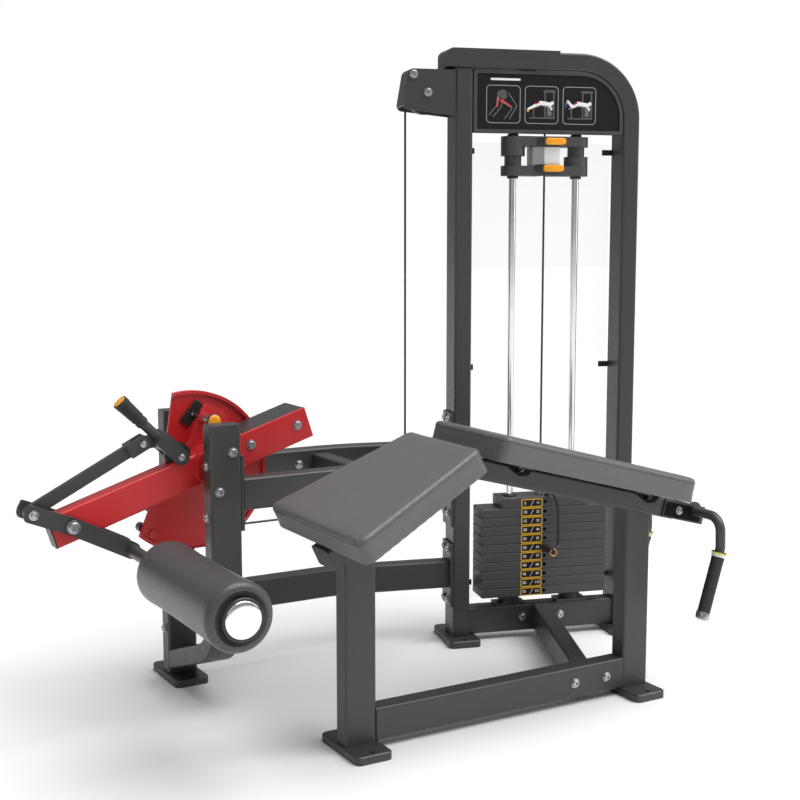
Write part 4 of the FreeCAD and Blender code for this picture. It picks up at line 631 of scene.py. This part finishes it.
def build_adjuster_grip():
    """The adjuster's ribbed sleeve and its yellow end."""
    pin = joint_point("roller_adjust")
    cap = middle_of("handle_cap")
    base = Vector((pin.x, cap.y, pin.z))
    way = (cap - base).normalized()
    start, grip_long, bore = 0.137, 0.056, 0.0126
    place = along(base + way * start, way)
    # a stepped neck, a ribbed barrel that widens outwards, and a rim round the yellow end
    profile = [(bore, -0.016), (0.0150, -0.016), (0.0158, -0.0150), (0.0158, -0.0060),
               (0.0146, -0.0048), (0.0146, 0.0), (0.0162, 0.0008), (0.0168, 0.0022)]
    ribs, barrel = 6, grip_long - 0.006
    for rib in range(ribs):
        z = 0.003 + rib * (barrel - 0.003) / ribs
        radius = 0.0166 + 0.0016 * rib / ribs
        profile += [(radius, z), (radius + 0.0002, z + 0.0055),
                    (radius - 0.0007, z + 0.0061), (radius - 0.0007, z + 0.0070)]
    profile += [(0.0186, barrel), (0.0192, barrel + 0.002),
                (0.0192, grip_long + 0.0085), (0.0180, grip_long + 0.0100),
                (0.0166, grip_long + 0.0100), (0.0166, grip_long), (bore, grip_long)]
    grip = piece("adjuster_grip", hollow("adjuster_grip", profile), place,
                 "handle", "black_rubber")
    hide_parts("handle_grip")
    end = [(0.0, 0.0), (0.0164, 0.0), (0.0164, 0.0095), (0.0155, 0.0108), (0.0120, 0.0116), (0.0, 0.0119)]
    outer = along(base + way * (start + grip_long + 0.0001), way)
    tip = piece("adjuster_grip_end", lathe("adjuster_grip_end", end), outer, "handle", "yellow_plastic")
    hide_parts("handle_cap")


def build_pull_knob():
    """Black pull knob with a stepped skirt and a yellow cap, on the cam's index pin."""
    low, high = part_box("pull_knob")
    middle = (low + high) / 2
    long, radius = high.y - low.y, (high.x - low.x) / 2
    place = along(Vector((middle.x, high.y, middle.z)), TO_NEAR_SIDE)
    bore = 0.0051
    skirt = [(bore, 0.0), (0.0105, 0.0), (0.011, 0.001), (0.0115, 0.006), (radius - 0.001, 0.0095),
             (radius, 0.0115), (radius, 0.0165), (radius - 0.0015, 0.018), (bore, 0.018)]
    knob = piece("knob_skirt", hollow("knob_skirt", skirt), place, "pull_pin", "black_plastic")
    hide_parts("pull_knob")
    cap = [(0.0, 0.0181), (radius - 0.0018, 0.0181), (radius - 0.0012, 0.0195)]
    cap += arc((radius - 0.0072, 0.0198), 0.006, 0, 90, 6) + [(0.0, long + 0.0004)]
    piece("knob_cap", lathe("knob_cap", cap), place, "pull_pin", "yellow_plastic")


# ---------------------------------------------------------------- small hardware
def bolt_head(name, place, body, radius):
    """Hexagon bolt head on a washer, standing on the place's Z."""
    shape = bmesh.new()
    extrude(shape, arc((0, 0), radius * 1.45, 0, 345, 23), 0.0, 0.0014, 0.0003)
    extrude(shape, arc((0, 0), radius, 0, 300, 5), 0.0014, radius * 0.75, radius * 0.14)
    piece(name, to_mesh(shape, "bolt_head", 25), place, body, "chrome_steel", ("bright_steel",))


def build_arm_hardware():
    """Bolt heads on the lever's tail pin and on the link's clevis pin."""
    tail_face, clevis_face = 0.041, 0.0211
    lever, handle, tail = (joint_point(name) for name in ("roller_lever_turn", "roller_adjust", "link_turn"))
    crank = handle + (tail - lever)
    line = middle_of("link_bar").y
    for name, at, out, body, radius in (("tail_bolt", tail, tail_face, "lever", 0.0085),
                                        ("clevis_bolt", crank, clevis_face, "link", 0.0060)):
        bolt_head(name, along(Vector((at.x, line - out, at.z)), TO_NEAR_SIDE), body, radius)


def build_lever_heels():
    """Square ends on the lever's two plates, beyond the tail pin."""
    near_face, far_face, thick = -0.0289, 0.0371, 0.0082
    lever, tail = joint_point("roller_lever_turn"), joint_point("link_turn")
    out = tail - lever
    out.y = 0.0
    out.normalize()
    line = middle_of("link_bar").y
    outline = rounded(-0.004, 0.0195, -0.0211, 0.0211, (0.005, 0.013, 0.002, 0.002))
    for name, face in (("near", near_face), ("far", far_face)):
        place = axes_at(Vector((tail.x, line + face, tail.z)), out, TO_NEAR_SIDE.cross(out), TO_NEAR_SIDE)
        heel = slab("lever_heel", outline, thick, 0.001)
        piece(f"lever_heel_{name}", heel, place, "lever", "frame_paint")


def build_bench_hardware():
    """Pad brackets on the near side of the chest beam, near-black as painted shade, and a flat sheet of
    painted shade on the recess at its end.
    """
    bracket_places, beam_face, cheek_face = (0.150, 0.562), -0.0401, -0.0451
    bracket_thick, gusset_thick, recess_shade_thick = 0.004, 0.013, 0.0012
    shape = PADS["chest_pad"]
    pad = pad_place("chest_pad", shape["slope"], shape["long"])
    upright = Matrix.Rotation(radians(90), 4, "X")

    def on_side(x, y, z):
        """A place on the bench's near side, in the pad's own lengths, facing out."""
        return pad @ Matrix.Translation((x, y, z)) @ upright

    plate = [(-0.058, -0.0645), (0.030, -0.0645), (0.018, -0.0830), (-0.004, -0.0880), (-0.030, -0.0790)]
    gusset = [(-0.020, -0.0800), (-0.017, -0.0800), (0.001, -0.0650), (-0.002, -0.0650)]
    for i, x in enumerate(bracket_places, start=1):
        bracket = on_side(x, beam_face, 0)
        # the brackets are near-black as painted shade, the shade that falls under the pad's edge
        piece(f"pad_bracket_{i}", slab("pad_bracket", plate, bracket_thick, 0.0012), bracket,
              "root", "frame_paint", ("shadow_paint",))
        piece(f"pad_gusset_{i}", slab("pad_gusset", gusset, gusset_thick), bracket, "root", "frame_paint")
        bolt_head(f"pad_bolt_{i}", on_side(x - 0.006, beam_face - bracket_thick, -0.0700), "root", 0.0042)
    # a thin near-black sheet on the cheek is painted shade, standing for the shade inside the recess at the
    # beam's end
    recess_shade = rounded(0.617, 0.742, -0.110, -0.073, (0.004,) * 4)
    piece("handle_recess_shade", slab("handle_recess_shade", recess_shade, recess_shade_thick), on_side(0, cheek_face, 0),
          "root", "frame_paint", ("shadow_paint",))
    bolt_head("handle_bolt", on_side(0.664, cheek_face - recess_shade_thick, -0.0905), "root", 0.0075)


# ---------------------------------------------------------------- weight stack
PLATE_PITCH = 0.0263
STACK_FLOOR = 0.130
PLATE_FACE = -0.044
ROD_HALF_GAP, ROD_BORE = 0.095, 0.0103
LABEL_LEFT, LABEL_WIDE, LABEL_GAP = -0.073, 0.065, 0.0014
LABEL_ROWS, ROW_KILOS, POUNDS_PER_KILO = 11, 5, 2.2


def number(text, size):
    """A number as flat letters, centred, slightly bold and raised."""
    curve = bpy.data.curves.new("number", "FONT")
    curve.body = text
    curve.size = size
    curve.offset = 0.0001
    curve.extrude = 0.00015
    curve.align_x = "CENTER"
    curve.align_y = "CENTER"
    obj = bpy.data.objects.new("number", curve)
    bpy.context.scene.collection.objects.link(obj)
    bpy.context.view_layer.update()
    mesh = bpy.data.meshes.new_from_object(obj)
    bpy.data.objects.remove(obj)
    return mesh


def add_mesh(shape, mesh, x, y, z, material):
    """Adds a mesh to shape at a place of its own."""
    known = len(shape.verts)
    faces = len(shape.faces)
    shape.from_mesh(mesh)
    shape.verts.ensure_lookup_table()
    shape.faces.ensure_lookup_table()
    bmesh.ops.translate(shape, verts=shape.verts[known:], vec=(x, y, z))
    for face in shape.faces[faces:]:
        face.material_index = material


def build_labels():
    """One label per plate and one on the head plate: the weight to there, in two units."""
    yellow, black, white = 0, 1, 2
    half_w, half_h, rim = LABEL_WIDE / 2, (PLATE_PITCH - LABEL_GAP) / 2, 0.0029
    outer = rounded(-half_w, half_w, -half_h, half_h, (0.0042,) * 4, 5)
    inner = rounded(-half_w + rim, half_w - rim, -half_h + rim, half_h - rim, (0.0022,) * 4, 5)
    print_z = 0.0006
    resting = round((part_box("resting_plates")[1].z - STACK_FLOOR) / PLATE_PITCH)
    for row in range(LABEL_ROWS):
        kilos = ROW_KILOS * (LABEL_ROWS - row)
        shape = bmesh.new()
        ring_slab(shape, outer, inner, 0.0, 0.0009, yellow)
        extrude(shape, outer, 0.0, 0.0005, 0.0, black)
        add_mesh(shape, number(str(kilos), 0.0115), -0.0205, 0.0, print_z, white)
        slash = bmesh.new()
        extrude(slash, limb((-3.4, -7.2), (5.4, 7.2), 0.55, 0.55, 3), 0.0, 0.0002)
        add_mesh(shape, to_mesh(slash, "slash"), 0.0, 0.0, print_z, white)
        pounds = number(str(round(kilos * POUNDS_PER_KILO)), 0.0105)
        add_mesh(shape, pounds, 0.0190, 0.0, print_z, white)
        body = "root" if row < resting else "stack"
        z = STACK_FLOOR + (row + 0.5) * PLATE_PITCH
        place = tower_front(LABEL_LEFT + half_w, PLATE_FACE - 0.0002, z)
        piece(f"weight_label_{row + 1:02d}", to_mesh(shape, "weight_label", 20), place,
              body, "sign_face", ("ink_yellow", "sign_face", "ink_white"))


def build_stack_trim():
    """Rod bushes in the head plate, and the selector pin with its grip, eye and ring."""
    head_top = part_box("lifted_plates")[1].z
    flange = [(ROD_BORE, 0.0), (0.0205, 0.0), (0.0212, 0.0008), (0.0212, 0.0032), (0.0203, 0.0040),
              (0.0150, 0.0042), (0.0145, 0.0055), (ROD_BORE, 0.0055)]
    for side, way in (("left", -1), ("right", 1)):
        piece(f"head_bush_{side}", hollow("head_bush", flange),
              tower_upright(way * ROD_HALF_GAP, 0, head_top), "stack", "black_plastic")

    # the pin stands at the middle height of its plate
    pin = middle_of("selector_pin")
    z = STACK_FLOOR + (round((pin.z - STACK_FLOOR) / PLATE_PITCH - 0.5) + 0.5) * PLATE_PITCH - 0.0003
    face = tower_front(0, PLATE_FACE, z)
    shaft = [(0.0, -0.064), (0.004, -0.064), (0.0048, -0.062), (0.0048, 0.004), (0.0, 0.004)]
    steel = piece("pin_shaft", lathe("pin_shaft", shaft, 32), face, "selector", "chrome_steel")
    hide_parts("selector_pin")
    grip = [(0.0, 0.0035), (0.0115, 0.0035), (0.0130, 0.0045), (0.0130, 0.0085), (0.0112, 0.0105),
            (0.0102, 0.020), (0.0098, 0.034), (0.0092, 0.050), (0.0086, 0.063), (0.0078, 0.069),
            (0.0, 0.0705)]
    piece("pin_grip", lathe("pin_grip", grip, 48), face, "selector", "black_rubber")
    ring_radius, ring_height, steps = 0.0098, 0.0742, 40
    angles = [tau * (0.36 + 0.86 * i / steps) for i in range(steps + 1)]
    loop = [Vector((ring_radius * cos(a), ring_radius * sin(a), ring_height)) for a in angles]
    piece("pin_ring", tube("pin_ring", loop, 0.0019, 14), face, "selector", "yellow_plastic", ("pin_wire",))
    eye = [(0.0, 0.069), (0.0052, 0.069), (0.0052, 0.0725), (0.0038, 0.0750), (0.0, 0.0754)]
    piece("pin_eye", lathe("pin_eye", eye, 32), face, "selector", "black_rubber")


def addon_latch(name, body, x, z):
    """Yellow turning latch on an add-on weight's face, on a black mount that reaches further left."""
    depth, mount_thick = -0.034, 0.003
    mount = slab("mount", oblong(0.078, 0.022), mount_thick, 0.001)
    piece(f"{name}_mount", mount, tower_front(x - 0.012, depth, z), body, "black_plastic")
    lever = slab("lever", oblong(0.062, 0.0195, 12), 0.0085, 0.003)
    piece(f"{name}_lever", lever, tower_front(x + 0.002, depth - mount_thick, z), body, "yellow_plastic")


def build_addon_trim():
    """The add-on weights' latches, the stop block between them, and rubber bushes round the rods."""
    low_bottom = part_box("lower_addon")[0].z
    up_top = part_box("upper_addon")[1].z
    addon_latch("lower_latch", "lower_addon", 0.0105, low_bottom + 0.021)
    addon_latch("upper_latch", "upper_addon", 0.0165, up_top - 0.014)
    # the block is slotted for the cable, and its right part is brighter
    slot, front, back, split, slot_back = 0.010, -0.030, 0.016, -0.011, -0.006
    left, right, tall, lift = -0.047, 0.035, 0.0515, 0.0292
    shape = bmesh.new()
    left_part = [(left, front), (split, front), (split, back), (left, back)]
    right_part = [(split, front), (right, front), (right, back), (slot, back),
                  (slot, slot_back), (split, slot_back)]
    extrude(shape, left_part, 0.0, tall, 0.0, 0)
    extrude(shape, right_part, 0.0, tall, 0.0, 1)
    piece("stop_block", to_mesh(shape, "stop_block"), tower_upright(0, 0, low_bottom + lift),
          "upper_addon", "bright_steel", ("steel_block", "pale_block"))
    # one pair of bushes is under the lower weight and one on top of the upper weight
    bush = [(ROD_BORE, 0.0), (0.0150, 0.0), (0.0158, 0.0010), (0.0158, 0.0062), (0.0148, 0.0072),
            (ROD_BORE, 0.0072)]
    heights = (("lower", "lower_addon", low_bottom - 0.0073), ("upper", "upper_addon", up_top + 0.0001))
    for side, way in (("left", -1), ("right", 1)):
        for name, body, z in heights:
            piece(f"{name}_bush_{side}", hollow("bush", bush),
                  tower_upright(way * ROD_HALF_GAP, 0, z), body, "black_rubber")


# ---------------------------------------------------------------- cables
def spline_points(route, resolution=24):
    """Points on the smooth line that a route's control points make."""
    curve = bpy.data.curves.new("route", "CURVE")
    curve.dimensions = "3D"
    spline = curve.splines.new("NURBS")
    spline.points.add(len(route) - 1)
    for point, place in zip(spline.points, route):
        point.co = (*place, 1.0)
    spline.order_u = 3
    spline.use_endpoint_u = True
    curve.resolution_u = resolution
    obj = bpy.data.objects.new("route", curve)
    mesh = bpy.data.meshes.new_from_object(obj)
    points = [vertex.co.copy() for vertex in mesh.vertices]
    bpy.data.objects.remove(obj)
    return points


# the lanyard's control points in the tower's millimetres, as in the part's source
LANYARD_ROUTE = [(8, -36, 427.6), (14, -56, 439), (26, -68, 419), (30, -72, 390),
                 (31, -74, 359), (30, -76, 328), (29, -84, 301), (17, -104, 283.4)]


def helix(line, radius, pitch, per_turn=14, taper=0.005):
    """Turns of a coil round a line, closing onto the line over taper at both ends."""
    lengths = [0.0]
    for a, b in zip(line, line[1:]):
        lengths.append(lengths[-1] + (b - a).length)
    total = lengths[-1]
    count = ceil(total / pitch * per_turn)
    side = (line[1] - line[0]).orthogonal().normalized()
    points, k = [], 0
    for i in range(count + 1):
        s = total * i / count
        while k < len(line) - 2 and lengths[k + 1] < s:
            k += 1
        step = line[k + 1] - line[k]
        tangent = step.normalized()
        centre = line[k] + tangent * (s - lengths[k])
        side = (side - side.dot(tangent) * tangent).normalized()
        other = tangent.cross(side)
        reach = radius * min(1.0, min(s, total - s) / taper)
        angle = tau * i / per_turn
        points.append(centre + reach * (cos(angle) * side + sin(angle) * other))
    return points


def build_lanyard():
    """Curly safety cord from the head plate to the selector pin's ring."""
    route = [in_tower(x * MM, y * MM, z * MM) for x, y, z in LANYARD_ROUTE]
    wire, coil_radius, pitch = 0.0021, 0.0034, 0.0029
    turns = helix(spline_points(route), coil_radius, pitch)
    obj = bpy.data.objects.new("lanyard_cord", tube("lanyard_cord", turns, wire / 2, 8))
    obj.data.materials.append(FINISHES["cord_black"])
    bpy.context.scene.collection.objects.link(obj)
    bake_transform(obj)
    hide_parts("lanyard")
    anchor = [(0.0, -0.0045), (0.0075, -0.0045), (0.0075, -0.001), (0.006, 0.003), (0.0035, 0.0042),
              (0.0, 0.0045)]
    foot = piece("lanyard_anchor", lathe("lanyard_anchor", anchor, 32), Matrix.Translation(route[0]),
                 "stack", "black_plastic")
    ferrule = [(0.0, -0.007), (0.0036, -0.007), (0.0042, -0.005), (0.0042, 0.004), (0.003, 0.006),
               (0.0, 0.006)]
    hook = piece("lanyard_ferrule", lathe("lanyard_ferrule", ferrule, 24),
                 along(route[-1], route[-1] - route[-2]), "selector", "black_plastic")


def build_stack_cable():
    """The run above the selector rod, as a straight tube on the root body."""
    low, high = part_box("stack_cable")
    middle = (low + high) / 2
    radius = min(high.x - low.x, high.y - low.y) / 2
    long = high.z - low.z
    steps = 24
    points = [Vector((middle.x, middle.y, low.z + long * i / steps)) for i in range(steps + 1)]
    obj = piece("lifting_cable", tube("lifting_cable", points, radius, 16), Matrix.Identity(4),
                "root", "cable_jacket")
    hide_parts("stack_cable")
    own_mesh(obj)


# ---------------------------------------------------------------- sign
SIGN_HALF_WIDTH, SIGN_HEIGHT = 0.224, 0.174
PICTURE_WIDE, PICTURE_TALL = 0.100, 0.104


def limb(a, b, r_a, r_b, steps=7):
    """Outline of a tapered bar with round ends, in millimetres."""
    turn = degrees(atan2(b[1] - a[1], b[0] - a[0]))
    points = arc(b, r_b, turn - 90, turn + 90, steps) + arc(a, r_a, turn + 90, turn + 270, steps)
    return [(x * MM, y * MM) for x, y in points]


def stroke(points, half_wide):
    """Outlines of thin lines from point to point, in millimetres."""
    return [limb(a, b, half_wide, half_wide, 3) for a, b in zip(points, points[1:])]


INKS = ("ink_line", "ink_white", "ink_grey", "ink_red", "ink_dark", "ink_yellow", "ink_blue")
WHITE, GREY, RED, DARK, YELLOW, BLUE = range(1, len(INKS))


def leg_picture():
    """Two bent legs in outline, their hamstrings in red."""
    near = [(-14, 36), (-17, 24), (-8, 8), (26, -10), (4, -40)]
    near_front = [(14, 32), (40, -4), (18, -40)]
    far = [(-17, 22), (-20, -4), (-42, -30)]
    far_front = [(-4, 6), (-8, -10), (-30, -34)]
    lines = [outline for points in (near, near_front, far, far_front) for outline in stroke(points, 0.9)]
    return ([(limb((-2, 28), (2, 22), 12, 9), DARK), (limb((-16, 14), (-18, -6), 3.5, 2.5), RED),
             (limb((-4, 10), (22, -6), 3.6, 2.4), RED)] + [(outline, GREY) for outline in lines])


def lying_picture(knee_lift):
    """A figure face down on a bench beside a roofed weight tower; the shins rise by knee_lift degrees."""
    hip, knee, shin, shin_turn = (-4, 6), (-22, -3), 20, 206
    bend = radians(shin_turn - knee_lift)
    foot = (knee[0] + shin * cos(bend), knee[1] + shin * sin(bend))
    shapes = [(limb((10, -34), (10, 38), 2.5, 2.5), DARK), (limb((36, -34), (36, 38), 2.5, 2.5), DARK),
              (limb((8, 38), (38, 38), 3.5, 3.5), DARK), (limb((16, -34), (30, -34), 3, 3), DARK)]
    shapes += [(limb((18, -26 + 6 * row), (28, -26 + 6 * row), 2.2, 2.2), GREY) for row in range(4)]
    shapes += [(limb((-30, -9), (-2, 0), 2.4, 2.4), GREY), (limb((-2, 0), (34, -7), 2.4, 2.4), GREY),
               (limb((-24, -34), (-24, -10), 2.2, 2.2), DARK), (limb((-34, -36), (38, -36), 2.0, 2.0), DARK),
               (limb(hip, (26, 2), 5.5, 5), WHITE), (limb((31, 6), (31.5, 6), 5, 5), WHITE),
               (limb(hip, knee, 5, 4), WHITE), (limb(knee, foot, 3.8, 2.8), WHITE),
               (limb((22, 0), (30, -12), 2.4, 2), WHITE), (limb((-8, 8), (-17, 2), 2.0, 1.6), RED),
               (limb((foot[0] - 1, foot[1] - 5), (foot[0] - 0.5, foot[1] - 5), 3, 3), YELLOW)]
    if knee_lift:
        # the way the feet go
        sweep = arc((-18, -2), 24, 188, 152, 5)
        shapes += [(outline, BLUE) for outline in stroke(sweep, 1.8)]
    return shapes


def build_sign():
    """Raised border, three framed pictures and a plain bar on the panel under the top beam."""
    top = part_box("sign_panel")[1].z
    left, right, bottom = -SIGN_HALF_WIDTH, SIGN_HALF_WIDTH, top - SIGN_HEIGHT
    face = tower_front(0, -0.034, 0)
    edge, bend, border = 0.001, 0.129, 0.011
    shape = bmesh.new()
    outer = rounded(left + edge, right - edge, bottom + edge, top - edge, (0.004, bend, 0.004, 0.004), 20)
    inner = rounded(left + border, right - border, bottom + border, top - border,
                    (0.003, bend - border, 0.003, 0.003), 20)
    ring_slab(shape, outer, inner, 0.0, 0.0025)
    piece("sign_border", to_mesh(shape, "sign_border"), face, "root", "frame_paint", ("sign_rim",))

    half_w, half_h, corner, line = PICTURE_WIDE / 2, PICTURE_TALL / 2, 0.012, 0.0017
    outer = rounded(-half_w, half_w, -half_h, half_h, (corner,) * 4)
    inner = rounded(-half_w + line, half_w - line, -half_h + line, half_h - line, (corner - line,) * 4)
    first_x, pitch, y = left + 0.038 + half_w, PICTURE_WIDE + 0.013, bottom + 0.028 + half_h
    pictures = [leg_picture(), lying_picture(0), lying_picture(75)]
    for i, shapes in enumerate(pictures):
        shape = bmesh.new()
        ring_slab(shape, outer, inner, 0.0, 0.0006, 0)
        for level, (outline, ink) in enumerate(shapes):
            extrude(shape, outline, 0.0, 0.0003 + 0.00006 * level, 0.0, ink)
        place = face @ Matrix.Translation((first_x + i * pitch, y, 0.0))
        piece(f"sign_picture_{i + 1}", to_mesh(shape, "sign_picture", 20), place, "root", "sign_face", INKS)
    # a plain bar stands where a title would be
    place = face @ Matrix.Translation((left + 0.094, top - 0.026, 0))
    bar = slab("sign_bar", oblong(0.088, 0.006), 0.0005)
    piece("sign_bar", bar, place, "root", "sign_face", ("ink_white",))


# ---------------------------------------------------------------- room, light and camera
def build_floor():
    """A wide pale floor, for the pictures only."""
    floor = bpy.data.meshes.new("floor")
    reach = 30.0
    corners = [(-reach, -reach, 0), (reach, -reach, 0), (reach, reach, 0), (-reach, reach, 0)]
    floor.from_pydata(corners, [], [(0, 1, 2, 3)])
    paint = Finish("floor_paint", (0.86, 0.86, 0.86), 0.55)
    paint.mottle(paint.noise(0.6, 2.0), 0.985, 1.0)
    floor.materials.append(paint.material)
    obj = bpy.data.objects.new("floor", floor)
    bpy.context.scene.collection.objects.link(obj)


def build_world():
    """The backdrop: white to the eye, and as a lamp a grey room with a brighter ceiling."""
    world = bpy.data.worlds.new("studio")
    bpy.context.scene.world = world
    world.use_nodes = True
    nodes, links = world.node_tree.nodes, world.node_tree.links
    split = nodes.new("ShaderNodeSeparateXYZ")
    links.new(nodes.new("ShaderNodeTexCoord").outputs["Generated"], split.inputs["Vector"])
    height = nodes.new("ShaderNodeMapRange")
    for name, value in (("From Min", -0.1), ("From Max", 0.9), ("To Min", 0.17), ("To Max", 0.52)):
        height.inputs[name].default_value = value
    links.new(split.outputs["Z"], height.inputs["Value"])
    strength = nodes.new("ShaderNodeMix")
    strength.inputs["B"].default_value = 1.0
    links.new(nodes.new("ShaderNodeLightPath").outputs["Is Camera Ray"], strength.inputs["Factor"])
    links.new(height.outputs["Result"], strength.inputs["A"])
    background = nodes["Background"]
    background.inputs["Color"].default_value = (1.0, 1.0, 1.0, 1.0)
    links.new(strength.outputs["Result"], background.inputs["Strength"])


def build_window():
    """Broad light from above, a little from the near side and the head end."""
    data = bpy.data.lights.new("window", "SUN")
    data.energy = 3.3
    data.angle = radians(55)
    sun = bpy.data.objects.new("window", data)
    sun.rotation_euler = Vector((-0.36, 0.34, -1.0)).to_track_quat("-Z", "Y").to_euler()
    bpy.context.scene.collection.objects.link(sun)


def soft_light(name, place, target, size, power):
    """A large lamp at place that shines at target."""
    data = bpy.data.lights.new(name, "AREA")
    data.shape = "RECTANGLE"
    data.size, data.size_y = size
    data.energy = power
    obj = bpy.data.objects.new(name, data)
    obj.location = place
    obj.rotation_euler = (Vector(target) - Vector(place)).to_track_quat("-Z", "Y").to_euler()
    bpy.context.scene.collection.objects.link(obj)


def build_camera():
    """Stands front left of the machine at chest height, looking a little down."""
    data = bpy.data.cameras.new("camera")
    data.sensor_width = 36.0
    data.lens = 60.26
    obj = bpy.data.objects.new("camera", data)
    obj.location = (-1.6895, -2.9023, 1.200)
    obj.rotation_euler = (radians(90 - 7.34), 0, radians(-30.07))
    bpy.context.scene.collection.objects.link(obj)
    bpy.context.scene.camera = obj
    data.clip_end = 200.0


def main():
    build_camera()
    build_floor()
    build_world()
    build_window()
    soft_light("front", (-3.5, -3.0, 2.6), (0, 0, 0.7), (1.2, 2.2), 6)
    soft_light("right", (3.6, -2.2, 2.2), (0.2, 0, 0.7), (1.0, 2.4), 24)
    bpy.context.scene.view_settings.view_transform = "Standard"
    finish_cad_nodes()
    for node, shape in PADS.items():
        build_pad(node, shape)
    build_roller()
    build_bench_grips()
    build_adjuster_grip()
    build_pull_knob()
    build_arm_hardware()
    build_lever_heels()
    build_bench_hardware()
    build_labels()
    build_stack_trim()
    build_addon_trim()
    build_lanyard()
    build_stack_cable()
    build_sign()


main()
